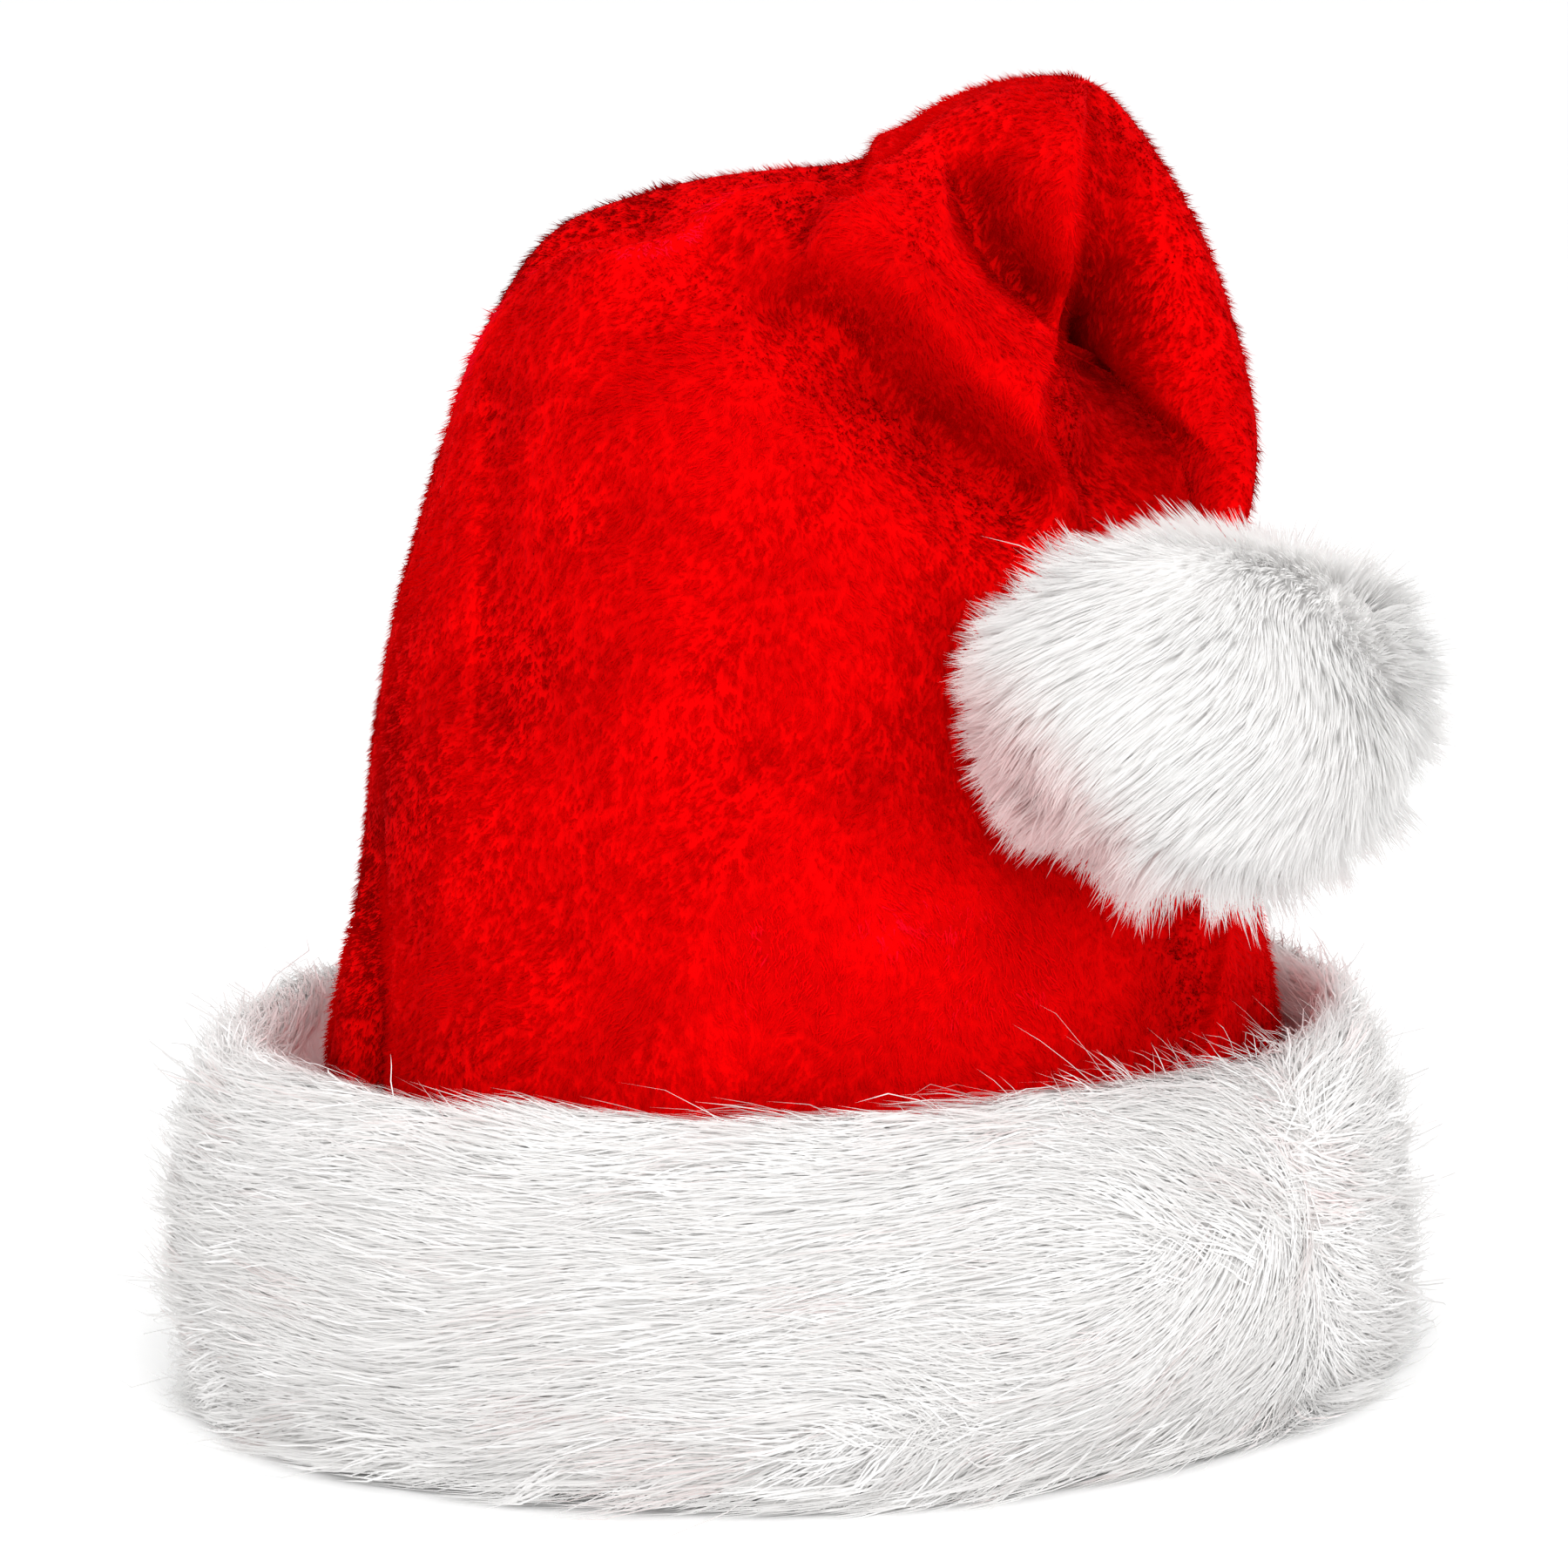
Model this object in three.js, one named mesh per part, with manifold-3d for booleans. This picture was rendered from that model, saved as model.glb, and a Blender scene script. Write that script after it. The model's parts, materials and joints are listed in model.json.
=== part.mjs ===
// A plush party hat: a soft red crown whose tip folds over to one side, a deep white fur cuff
// and a white fur pompom on the tip. Millimetres, +Z up, front towards -Y.
// The hat stands on its cuff on the plane z = 0, and the crown is open underneath for the head.
import * as THREE from "three";
import { mergeVertices } from "three/addons/utils/BufferGeometryUtils.js";
import Module from "manifold-3d";

const wasm = await Module();
wasm.setup();

// Driving dimensions
const HEAD_RADIUS = 96; // inside of the crown at its hem, for a head of about 600 mm round
const CLOTH = 2.5; // plush cloth with its short pile
const PIECE_GAP = 0.6; // clear space between neighbouring pieces
const HEM_RADIUS = HEAD_RADIUS + CLOTH;

// Cross-sections of the crown from the hem to the tip of the tail.
// far is the point on the outside of the bend: the left flank, then the top, then the right flank.
// near is the point on the inside of the bend, where the tail folds down on the right flank.
// front and back are how far the section reaches from mid_y towards -Y and +Y.
// rings is how many rings of points lead from a section to the next.
const CROWN_SECTIONS = [
  { far_x: -HEM_RADIUS, far_z: 4, near_x: HEM_RADIUS, near_z: 4, mid_y: 0, front: 97, back: 97, rings: 1 },
  { far_x: -98.8, far_z: 26, near_x: 98.8, near_z: 26, mid_y: 0, front: 97, back: 97, rings: 1 },
  { far_x: -99.5, far_z: 48, near_x: 101, near_z: 48, mid_y: 0, front: 98, back: 97, rings: 1 },
  { far_x: -98.5, far_z: 71, near_x: 101.5, near_z: 71, mid_y: 0, front: 97, back: 96, rings: 2 },
  { far_x: -91.5, far_z: 96, near_x: 97, near_z: 95, mid_y: 0, front: 94, back: 93, rings: 2 },
  { far_x: -87.5, far_z: 124, near_x: 95, near_z: 121, mid_y: 1, front: 91, back: 90, rings: 2 },
  { far_x: -82.5, far_z: 153, near_x: 94, near_z: 144, mid_y: 2, front: 86, back: 86, rings: 2 },
  { far_x: -74, far_z: 180, near_x: 92, near_z: 165, mid_y: 3, front: 79, back: 80, rings: 2 },
  { far_x: -65, far_z: 208, near_x: 89, near_z: 182.5, mid_y: 4, front: 72, back: 72, rings: 2 },
  { far_x: -50, far_z: 236, near_x: 82, near_z: 195.5, mid_y: 5, front: 66, back: 64, rings: 4 },
  { far_x: -19, far_z: 247, near_x: 71, near_z: 204, mid_y: 5, front: 61, back: 54, rings: 4 },
  { far_x: 14, far_z: 251, near_x: 63, near_z: 208, mid_y: 4, front: 56, back: 46, rings: 4 },
  { far_x: 37, far_z: 262.5, near_x: 59.5, near_z: 210, mid_y: 2, front: 51, back: 42, rings: 3 },
  { far_x: 62, far_z: 265.5, near_x: 58.5, near_z: 211, mid_y: 0, front: 46, back: 38, rings: 2 },
  { far_x: 72.5, far_z: 258.5, near_x: 59.5, near_z: 211.3, mid_y: -2, front: 27, back: 36, rings: 2 },
  { far_x: 81.5, far_z: 245, near_x: 62, near_z: 210.5, mid_y: -6, front: 24, back: 31, rings: 1 },
  { far_x: 88.5, far_z: 231, near_x: 66, near_z: 208, mid_y: -13, front: 22, back: 26, rings: 1 },
  { far_x: 92.3, far_z: 217, near_x: 71.5, near_z: 203.5, mid_y: -24, front: 19, back: 21, rings: 1 },
  { far_x: 94.3, far_z: 205, near_x: 77, near_z: 197.5, mid_y: -37, front: 16, back: 16, rings: 1 },
  { far_x: 94.8, far_z: 196, near_x: 80.5, near_z: 189.5, mid_y: -50, front: 13, back: 12, rings: 1 },
  { far_x: 93, far_z: 187, near_x: 81, near_z: 181, mid_y: -62, front: 10, back: 10, rings: 1 },
  { far_x: 89.5, far_z: 177, near_x: 78.5, near_z: 171, mid_y: -73, front: 8, back: 8, rings: 1 },
];
const CROWN_COLUMNS = 44; // points round a ring, closer together at the front
const FRONT_CROWDING = 0.38; // how strongly the points gather at the front, under 1

// Folds and dents of the crown, as lines seen from the front, from the back or from above.
// Points of a line are (x, z), or (x, y) from above. A fold fades over reach on both sides of its
// line and sinks the cloth by depth, between the first and the last section that it crosses.
// A negative depth raises a ridge.
const CROWN_FOLDS = [
  {
    seen: "front", first: 7, last: 13, reach: 11, depth: 14,
    line: [[-22, 237], [5, 221], [21, 204], [47, 185]],
  },
  {
    seen: "front", first: 7, last: 14, reach: 10, depth: -7,
    line: [[20, 246], [28, 227], [43, 209], [54, 195]],
  },
  {
    seen: "front", first: 10, last: 14, reach: 9, depth: 11,
    line: [[42, 251], [42, 239], [49, 228]],
  },
  {
    seen: "front", first: 7, last: 13, reach: 8, depth: -6,
    line: [[63, 260], [60, 228], [54, 205], [54, 188]],
  },
  {
    seen: "front", first: 5, last: 10.5, reach: 12, depth: 18,
    line: [[70, 198], [74, 172]],
  },
  {
    seen: "front", first: 2, last: 6, reach: 8, depth: 14,
    line: [[-84, 72], [-83, 104]],
  },
  {
    seen: "front", first: 5, last: 9, reach: 11, depth: 4,
    line: [[-60, 204], [-62, 150]],
  },
  {
    seen: "front", first: 4, last: 8, reach: 13, depth: 4,
    line: [[-52, 156], [-48, 146]],
  },
  {
    seen: "front", first: 2, last: 6, reach: 13, depth: 5,
    line: [[-50, 110], [-42, 98]],
  },
  {
    seen: "front", first: 3, last: 8, reach: 14, depth: 6,
    line: [[-6, 134], [52, 134]],
  },
  {
    seen: "front", first: 2, last: 7, reach: 16, depth: -3,
    line: [[-2, 111], [52, 107]],
  },
  {
    seen: "front", first: 2, last: 6, reach: 8, depth: -4,
    line: [[92, 98], [82, 72]],
  },
  {
    seen: "back", first: 6, last: 13, reach: 13, depth: 9,
    line: [[-14, 231], [52, 184]],
  },
  {
    seen: "back", first: 2, last: 9, reach: 22, depth: 7,
    line: [[-40, 177], [-30, 112]],
  },
  {
    seen: "back", first: 3, last: 8, reach: 12, depth: 6,
    line: [[10, 150], [66, 128]],
  },
  {
    seen: "above", first: 8, last: 13, reach: 15, depth: 9,
    line: [[-50, -6], [18, -4]],
  },
];

// The cuff: a doubled strip of fur cloth round the hem, seen in section.
// Each row is a corner of the section, out from the hem circle and up from the floor.
const CUFF_SECTION = [
  { out: 0, up: 2 },
  { out: 3, up: 0 },
  { out: 20, up: 0 },
  { out: 27.5, up: 4.5 },
  { out: 31, up: 18 },
  { out: 31.5, up: 37 },
  { out: 29, up: 55 },
  { out: 24, up: 68 },
  { out: 17, up: 75 },
  { out: 11, up: 73 },
  { out: 8, up: 62 },
  { out: 4, up: 42 },
  { out: 0, up: 20 },
];
const CUFF_COLUMNS = 40;
const CUFF_DEPTH_SHARE = 0.985; // front to back against side to side
// Soft bulges round the cuff: where they sit, how far they spread and how far they swell.
const CUFF_BULGES = [
  { at_deg: 355, spread_deg: 26, swell: -1.5 },
  { at_deg: 300, spread_deg: 20, swell: -2 },
  { at_deg: 200, spread_deg: 34, swell: 4.5 },
  { at_deg: 95, spread_deg: 34, swell: 2 },
  { at_deg: 45, spread_deg: 18, swell: -2 },
];
// The fur lies in a whorl: it runs away from this point both ways round the cuff.
const FUR_WHORL = { at_deg: 328, up: 54 };
const CUFF_LOCK_TOP = 72; // no lock climbs over the crest
// Rows of locks on the cuff: how high their roots sit, how many there are and their size.
const CUFF_LOCK_ROWS = [
  { up: 66, count: 8, length: 44, width: 17, lift: 3 },
  { up: 49, count: 8, length: 50, width: 20, lift: 3 },
  { up: 31, count: 8, length: 50, width: 20, lift: 3 },
  { up: 13, count: 8, length: 44, width: 16, lift: 3 },
];

// The pompom: a soft ball of fur that leans on the front right of the crown.
const POMPOM = { x: 78, y: -98, z: 152, half_width: 39, half_depth: 34, half_height: 33 };
const POMPOM_COLUMNS = 14;
const POMPOM_ROWS = 9;
const POMPOM_LOCKS = 30;
const POMPOM_LOCK = { length: 10, width: 19, sink: 9, lean: 6, droop: 3 };

const PLUSH_RED = 0xc4060c;
const FUR_WHITE = 0xeeecea;
const GOLDEN_ANGLE = Math.PI * (3 - Math.sqrt(5));

// A repeatable number from 0 to 1 for a whole number.
function scatter(index) {
  const value = Math.sin(index * 12.9898 + 4.1414) * 43758.5453;
  return value - Math.floor(value);
}

// A smooth bump: 1 at distance 0, fading over reach.
function bump(distance, reach) {
  return Math.exp(-((distance / reach) ** 2));
}

// Distance in a plane from (a, b) to a line of points.
function distanceToLine(a, b, line) {
  let nearest = Infinity;
  for (let k = 1; k < line.length; k++) {
    const [a0, b0] = line[k - 1];
    const [runA, runB] = [line[k][0] - a0, line[k][1] - b0];
    const along = ((a - a0) * runA + (b - b0) * runB) / (runA * runA + runB * runB);
    const t = THREE.MathUtils.clamp(along, 0, 1);
    nearest = Math.min(nearest, Math.hypot(a - a0 - t * runA, b - b0 - t * runB));
  }
  return nearest;
}

// The section of the crown a share t of the way from a row of the table to the next,
// by a smooth curve through each column.
function crownSection(row, t) {
  const last = CROWN_SECTIONS.length - 1;
  const pick = (offset) => CROWN_SECTIONS[THREE.MathUtils.clamp(row + offset, 0, last)];
  const section = {};
  for (const column of Object.keys(CROWN_SECTIONS[0])) {
    const [p0, p1, p2, p3] = [-1, 0, 1, 2].map((offset) => pick(offset)[column]);
    const slope1 = (p2 - p0) / 2;
    const slope2 = (p3 - p1) / 2;
    const cubic = 2 * (p1 - p2) + slope1 + slope2;
    const square = 3 * (p2 - p1) - 2 * slope1 - slope2;
    section[column] = ((cubic * t + square) * t + slope1) * t + p1;
  }
  return section;
}

// The place on the crown's outer face at a place in the table and an angle round the section.
// Angle 0 is the far side of the bend, a quarter turn the front, a half turn the near side.
function crownPoint(row, t, angle) {
  const s = crownSection(row, t);
  const across = Math.cos(angle);
  const towardsFront = Math.sin(angle);
  const point = new THREE.Vector3(
    (s.far_x + s.near_x) / 2 + ((s.far_x - s.near_x) / 2) * across,
    s.mid_y - (towardsFront > 0 ? s.front : s.back) * towardsFront,
    (s.far_z + s.near_z) / 2 + ((s.far_z - s.near_z) / 2) * across,
  );
  const facing = {
    front: THREE.MathUtils.smoothstep(towardsFront, 0.1, 0.75),
    back: THREE.MathUtils.smoothstep(-towardsFront, 0.1, 0.75),
    above: THREE.MathUtils.smoothstep(across, 0.25, 0.75),
  };
  const sunk = new THREE.Vector3();
  for (const fold of CROWN_FOLDS) {
    const b = fold.seen === "above" ? point.y : point.z;
    const inside = Math.min(row + t - fold.first, fold.last - row - t);
    const share = facing[fold.seen] * THREE.MathUtils.smoothstep(inside, 0, 1);
    const sink = fold.depth * share * bump(distanceToLine(point.x, b, fold.line), fold.reach);
    if (fold.seen === "above") sunk.z -= sink;
    else sunk.y += fold.seen === "front" ? sink : -sink;
  }
  return point.add(sunk);
}

// The crown's outer face as rings of points from the hem to the tip.
function crownRings() {
  const rings = [];
  CROWN_SECTIONS.forEach((section, row) => {
    for (let k = 0; k < section.rings; k++) {
      const ring = [];
      for (let j = 0; j < CROWN_COLUMNS; j++) {
        const even = (2 * Math.PI * j) / CROWN_COLUMNS;
        ring.push(crownPoint(row, k / section.rings, even + FRONT_CROWDING * Math.cos(even)));
      }
      rings.push(ring);
    }
  });
  return rings;
}

// The outward normals of the face at the points of its rings.
function ringNormals(rings) {
  const lastRow = rings.length - 1;
  const columns = rings[0].length;
  return rings.map((ring, i) =>
    ring.map((_, j) => {
      const round = ring[(j + 1) % columns].clone().sub(ring[(j + columns - 1) % columns]);
      const along = rings[Math.min(i + 1, lastRow)][j].clone().sub(rings[Math.max(i - 1, 0)][j]);
      return round.cross(along).normalize();
    }),
  );
}

// The same directions evened out over their neighbours, so a wall follows a tight fold smoothly.
function evened(directions) {
  const lastRow = directions.length - 1;
  const columns = directions[0].length;
  return directions.map((ring, i) =>
    ring.map((direction, j) =>
      direction.clone().multiplyScalar(2)
        .add(ring[(j + 1) % columns])
        .add(ring[(j + columns - 1) % columns])
        .add(directions[Math.min(i + 1, lastRow)][j])
        .add(directions[Math.max(i - 1, 0)][j])
        .normalize(),
    ),
  );
}

// The same rings moved along the outward normal, or inwards where distance is negative.
function offsetRings(rings, distance) {
  const ways = evened(evened(ringNormals(rings)));
  return rings.map((ring, i) =>
    ring.map((point, j) => point.clone().addScaledVector(ways[i][j], distance)),
  );
}

// Collects points and triangles and makes a geometry of them.
class Skin {
  constructor() {
    this.points = [];
    this.triangles = [];
  }

  addRing(ring) {
    const first = this.points.length;
    this.points.push(...ring);
    return ring.map((_, k) => first + k);
  }

  // Joins two rings of the same count, with the face on the right hand of the way from a to b.
  bridge(a, b) {
    a.forEach((_, k) => {
      const next = (k + 1) % a.length;
      this.triangles.push(a[k], a[next], b[next], a[k], b[next], b[k]);
    });
  }

  // Closes a ring with a fan to its middle.
  cap(ring) {
    const middle = new THREE.Vector3();
    ring.forEach((index) => middle.add(this.points[index]));
    this.points.push(middle.divideScalar(ring.length));
    const centre = this.points.length - 1;
    ring.forEach((index, k) => this.triangles.push(index, ring[(k + 1) % ring.length], centre));
  }

  geometry() {
    const made = new THREE.BufferGeometry().setFromPoints(this.points);
    made.setIndex(this.triangles);
    return made;
  }
}

// A closed geometry as a solid that can be joined and cut.
function solidOf(geometry) {
  const bare = geometry.clone();
  bare.deleteAttribute("normal");
  bare.deleteAttribute("uv");
  const merged = mergeVertices(bare, 1e-4);
  return new wasm.Manifold(
    new wasm.Mesh({
      numProp: 3,
      vertProperties: new Float32Array(merged.attributes.position.array),
      triVerts: new Uint32Array(merged.index.array),
    }),
  );
}

// The largest body of a solid, as a geometry.
function geometryOf(solid) {
  const [largest] = solid.decompose().sort((a, b) => b.volume() - a.volume());
  const mesh = largest.getMesh();
  const geometry = new THREE.BufferGeometry();
  geometry.setAttribute("position", new THREE.BufferAttribute(mesh.vertProperties, mesh.numProp));
  geometry.setIndex(new THREE.BufferAttribute(mesh.triVerts, 1));
  geometry.computeVertexNormals();
  return geometry;
}

// The crown's cloth: an outer and an inner face joined round the hem, and closed at the tip.
function crownGeometry(rings) {
  const skin = new Skin();
  const outer = rings.map((ring) => skin.addRing(ring));
  const inside = offsetRings(rings, -CLOTH).slice(0, -1);
  const inner = inside.map((ring) => skin.addRing(ring));
  outer.slice(1).forEach((ring, i) => skin.bridge(outer[i], ring));
  inner.slice(1).forEach((ring, i) => skin.bridge(ring, inner[i]));
  skin.bridge(inner[0], outer[0]);
  skin.cap(outer.at(-1));
  skin.cap(inner.at(-1).toReversed());
  return skin.geometry();
}

// The space that the crown takes up, with a clear gap round it, for cutting its neighbours.
function crownEnvelope(rings) {
  const skin = new Skin();
  const around = offsetRings(rings, PIECE_GAP);
  const [before, end] = around.slice(-2).map((ring) => {
    return new THREE.Box3().setFromPoints(ring).getCenter(new THREE.Vector3());
  });
  const onwards = end.sub(before).normalize();
  around.at(-1).forEach((point) => point.addScaledVector(onwards, 3 * PIECE_GAP));
  const outer = around.map((ring) => skin.addRing(ring));
  outer.slice(1).forEach((ring, i) => skin.bridge(outer[i], ring));
  skin.cap(outer.at(-1));
  skin.cap(outer[0].toReversed());
  return solidOf(skin.geometry());
}

// How far the cuff swells at an angle round it.
function cuffSwell(angle) {
  let swell = 0;
  for (const bulge of CUFF_BULGES) {
    const turn = THREE.MathUtils.radToDeg(angle) - bulge.at_deg;
    const away = THREE.MathUtils.euclideanModulo(turn + 180, 360) - 180;
    swell += bulge.swell * bump(away, bulge.spread_deg);
  }
  return swell;
}

// A place on the cuff from an angle round it and a corner of its section.
function cuffPoint(angle, out, up) {
  const outerShare = THREE.MathUtils.smoothstep(out, 6, 28);
  const radius = HEM_RADIUS + PIECE_GAP + out + cuffSwell(angle) * outerShare;
  return new THREE.Vector3(
    radius * Math.cos(angle),
    radius * CUFF_DEPTH_SHARE * Math.sin(angle),
    up,
  );
}

// The outer face of the cuff's section at a height: how far out it lies.
function cuffOutAt(up) {
  const face = CUFF_SECTION.slice(2, 9);
  const above = face.findIndex((corner) => corner.up >= up);
  if (above <= 0) return face[above === 0 ? 0 : face.length - 1].out;
  const t = (up - face[above - 1].up) / (face[above].up - face[above - 1].up);
  return THREE.MathUtils.lerp(face[above - 1].out, face[above].out, t);
}

// The way the fur lies at a place on the cuff, as a step round the ring and a step up.
function furFlow(angle, up) {
  const whorl = THREE.MathUtils.degToRad(FUR_WHORL.at_deg);
  const turn = THREE.MathUtils.euclideanModulo(angle - whorl + Math.PI, 2 * Math.PI) - Math.PI;
  const round = turn * (HEM_RADIUS + 28);
  return new THREE.Vector2(round, up - FUR_WHORL.up - 6).normalize();
}

// A pointed lock along a line of points: flat rings that swell from the root and close at the tip.
function lockSolid(line, outwards, width, thickness) {
  const skin = new Skin();
  const shares = [0.7, 1, 0.62];
  const rings = line.slice(0, -1).map((point, k) => {
    const along = line[k + 1].clone().sub(point).normalize();
    const side = along.clone().cross(outwards[k]).normalize();
    const rise = side.clone().cross(along).normalize();
    return skin.addRing([
      point.clone().addScaledVector(side, (width / 2) * shares[k]),
      point.clone().addScaledVector(rise, thickness * shares[k]),
      point.clone().addScaledVector(side, (-width / 2) * shares[k]),
      point.clone().addScaledVector(rise, -thickness * shares[k]),
    ]);
  });
  rings.slice(1).forEach((ring, i) => skin.bridge(ring, rings[i]));
  skin.cap(rings[0]);
  skin.points.push(line.at(-1));
  const tip = skin.points.length - 1;
  const end = rings.at(-1);
  end.forEach((index, k) => skin.triangles.push(end[(k + 1) % end.length], index, tip));
  return solidOf(skin.geometry());
}

// One lock of the cuff, which runs over the fur's face from its root and lifts off at its tip.
function cuffLock(row, angle) {
  const line = [];
  const outwards = [];
  let [turn, up] = [angle, row.up];
  const lifts = [-2.5, 0.4, 1, row.lift];
  const flow = furFlow(angle, row.up).multiplyScalar(row.length / (lifts.length - 1));
  for (const lift of lifts) {
    up = THREE.MathUtils.clamp(up, row.width * 0.55, CUFF_LOCK_TOP);
    line.push(cuffPoint(turn, cuffOutAt(up) + lift, up));
    outwards.push(new THREE.Vector3(Math.cos(turn), Math.sin(turn), 0));
    turn += flow.x / (HEM_RADIUS + 28);
    up += flow.y;
  }
  return lockSolid(line, outwards, row.width, 2.6);
}

// The fur cuff: the soft strip with its locks joined on.
function cuffGeometry() {
  const skin = new Skin();
  const columns = [];
  for (let i = 0; i < CUFF_COLUMNS; i++) {
    const angle = (2 * Math.PI * i) / CUFF_COLUMNS;
    const corners = CUFF_SECTION.map((corner) => cuffPoint(angle, corner.out, corner.up));
    columns.push(skin.addRing(corners));
  }
  columns.forEach((column, i) => skin.bridge(columns[(i + 1) % CUFF_COLUMNS], column));
  let solid = solidOf(skin.geometry());
  CUFF_LOCK_ROWS.forEach((row, k) => {
    for (let i = 0; i < row.count; i++) {
      const jitter = scatter(100 * k + i) - 0.5;
      solid = solid.add(cuffLock(row, (2 * Math.PI * (i + k / 2 + 0.5 * jitter)) / row.count));
    }
  });
  return geometryOf(solid);
}

// The fur pompom: a soft ball with pointed locks all over, hollowed where the tail runs into it.
function pompomGeometry(envelope) {
  const size = new THREE.Vector3(POMPOM.half_width, POMPOM.half_depth, POMPOM.half_height);
  const middle = new THREE.Vector3(POMPOM.x, POMPOM.y, POMPOM.z);
  const ball = new THREE.SphereGeometry(1, POMPOM_COLUMNS, POMPOM_ROWS);
  ball.scale(size.x, size.y, size.z).translate(middle.x, middle.y, middle.z);
  let solid = solidOf(ball);
  for (let i = 0; i < POMPOM_LOCKS; i++) {
    const height = 1 - (2 * (i + 0.5)) / POMPOM_LOCKS;
    const ring = Math.sqrt(1 - height * height);
    const turn = i * GOLDEN_ANGLE;
    const way = new THREE.Vector3(ring * Math.cos(turn), ring * Math.sin(turn), height);
    const face = way.clone().multiply(size);
    const reach = POMPOM_LOCK.length * (0.75 + 0.5 * scatter(i));
    const [leanX, leanY, leanZ] = [200, 400, 600].map((offset) => scatter(i + offset) - 0.5);
    const lean = new THREE.Vector3(leanX, leanY, leanZ);
    const line = [-POMPOM_LOCK.sink, 0, 0.55 * reach, reach].map((out) => {
      const bent = (Math.max(out, 0) / POMPOM_LOCK.length) ** 2;
      return middle.clone().add(face).addScaledVector(way, out)
        .addScaledVector(lean, POMPOM_LOCK.lean * bent)
        .addScaledVector(new THREE.Vector3(0, 0, -1), POMPOM_LOCK.droop * bent);
    });
    const side = new THREE.Vector3(-way.y, way.x, 0.2).normalize();
    const { width } = POMPOM_LOCK;
    solid = solid.add(lockSolid(line, [side, side, side], width, 0.4 * width));
  }
  return geometryOf(solid.subtract(envelope));
}

// A named piece with its material.
function piece(name, geometry, color) {
  const material = new THREE.MeshStandardMaterial({ color, roughness: 0.95, metalness: 0 });
  const mesh = new THREE.Mesh(geometry, material);
  mesh.name = name;
  return mesh;
}

const rings = crownRings();
const hat = new THREE.Group();
hat.add(
  piece("crown", crownGeometry(rings), PLUSH_RED),
  piece("fur_cuff", cuffGeometry(), FUR_WHITE),
  piece("pompom", pompomGeometry(crownEnvelope(rings)), FUR_WHITE),
);

// The origin is the middle of the hat's box, on the surface that it stands on.
const box = new THREE.Box3().setFromObject(hat);
const middle = box.getCenter(new THREE.Vector3());
hat.children.forEach((child) => child.position.set(-middle.x, -middle.y, 0));

export default hat;
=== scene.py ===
"""Looks of a plush party hat: red brushed crown cloth, a long-haired white cuff and a white pompom.

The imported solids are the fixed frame. Sizes in the classes below are in millimetres, in the hat's
own frame: +Z up, the front towards -Y, the origin in the middle of the surface it stands on.
"""

from __future__ import annotations

import json
import logging
import math
from collections.abc import Iterator
from contextlib import contextmanager
from dataclasses import dataclass, field, replace
from enum import Enum

import bpy
import numpy as np
from mathutils import Matrix, Vector
from mathutils.kdtree import KDTree

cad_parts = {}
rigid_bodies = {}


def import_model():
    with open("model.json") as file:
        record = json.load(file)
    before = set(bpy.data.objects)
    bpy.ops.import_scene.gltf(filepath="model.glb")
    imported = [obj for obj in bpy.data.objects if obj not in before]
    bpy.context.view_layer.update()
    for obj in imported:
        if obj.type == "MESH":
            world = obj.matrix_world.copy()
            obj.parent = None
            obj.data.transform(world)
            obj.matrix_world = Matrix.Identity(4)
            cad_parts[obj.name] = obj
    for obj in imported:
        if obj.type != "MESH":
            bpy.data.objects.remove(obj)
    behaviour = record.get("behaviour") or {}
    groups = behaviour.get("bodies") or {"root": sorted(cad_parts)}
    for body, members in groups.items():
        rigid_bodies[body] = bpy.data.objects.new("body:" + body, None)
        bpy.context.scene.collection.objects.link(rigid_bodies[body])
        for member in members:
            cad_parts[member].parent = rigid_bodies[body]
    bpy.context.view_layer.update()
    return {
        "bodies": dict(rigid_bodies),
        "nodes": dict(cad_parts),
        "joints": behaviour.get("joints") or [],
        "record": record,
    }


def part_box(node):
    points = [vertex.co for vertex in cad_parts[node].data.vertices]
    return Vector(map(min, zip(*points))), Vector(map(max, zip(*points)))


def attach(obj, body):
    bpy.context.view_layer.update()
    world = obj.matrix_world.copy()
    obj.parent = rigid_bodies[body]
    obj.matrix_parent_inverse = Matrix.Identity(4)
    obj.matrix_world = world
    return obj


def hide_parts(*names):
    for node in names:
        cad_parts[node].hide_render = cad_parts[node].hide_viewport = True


LOG = logging.getLogger("party_hat")
MM = 0.001
BODY = "root"
FULL_TURN = 2.0 * math.pi
DOUBLES = 1e-5  # points this close, in metres, are one
Array = np.ndarray
Object = bpy.types.Object
Line = tuple[tuple[float, float], ...]
Way = tuple[float, float, float]
Palette = tuple[tuple[float, Way], ...]


class Slot(Enum):
    """The record's material slots."""

    PLUSH = "plush_red"
    FUR = "fur_white"


class Seen(Enum):
    """The side that a fold's line is drawn from."""

    FRONT = "front"
    ABOVE = "above"


class Part(Enum):
    """What is selected in edit mode."""

    POINTS = "VERT"
    FACES = "FACE"


def unit(vectors: Array) -> Array:
    """Scale vectors, on the last axis, to length 1."""
    return vectors / np.maximum(np.linalg.norm(vectors, axis=-1, keepdims=True), 1e-9)


def ramp(low: float, high: float, value: Array) -> Array:
    """Rise smoothly from 0 to 1 between a low and a high value."""
    share = np.clip((np.asarray(value, float) - low) / (high - low), 0.0, 1.0)
    return share * share * (3.0 - 2.0 * share)


def fade(distance: Array, reach: float) -> Array:
    """Fall smoothly from 1 to 0 with distance."""
    return np.exp(-((distance / reach) ** 2))


def turned_from(angle: Array, start: float) -> Array:
    """Measure angles from a start, up to half a turn each way."""
    return (angle - start + math.pi) % FULL_TURN - math.pi


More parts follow.
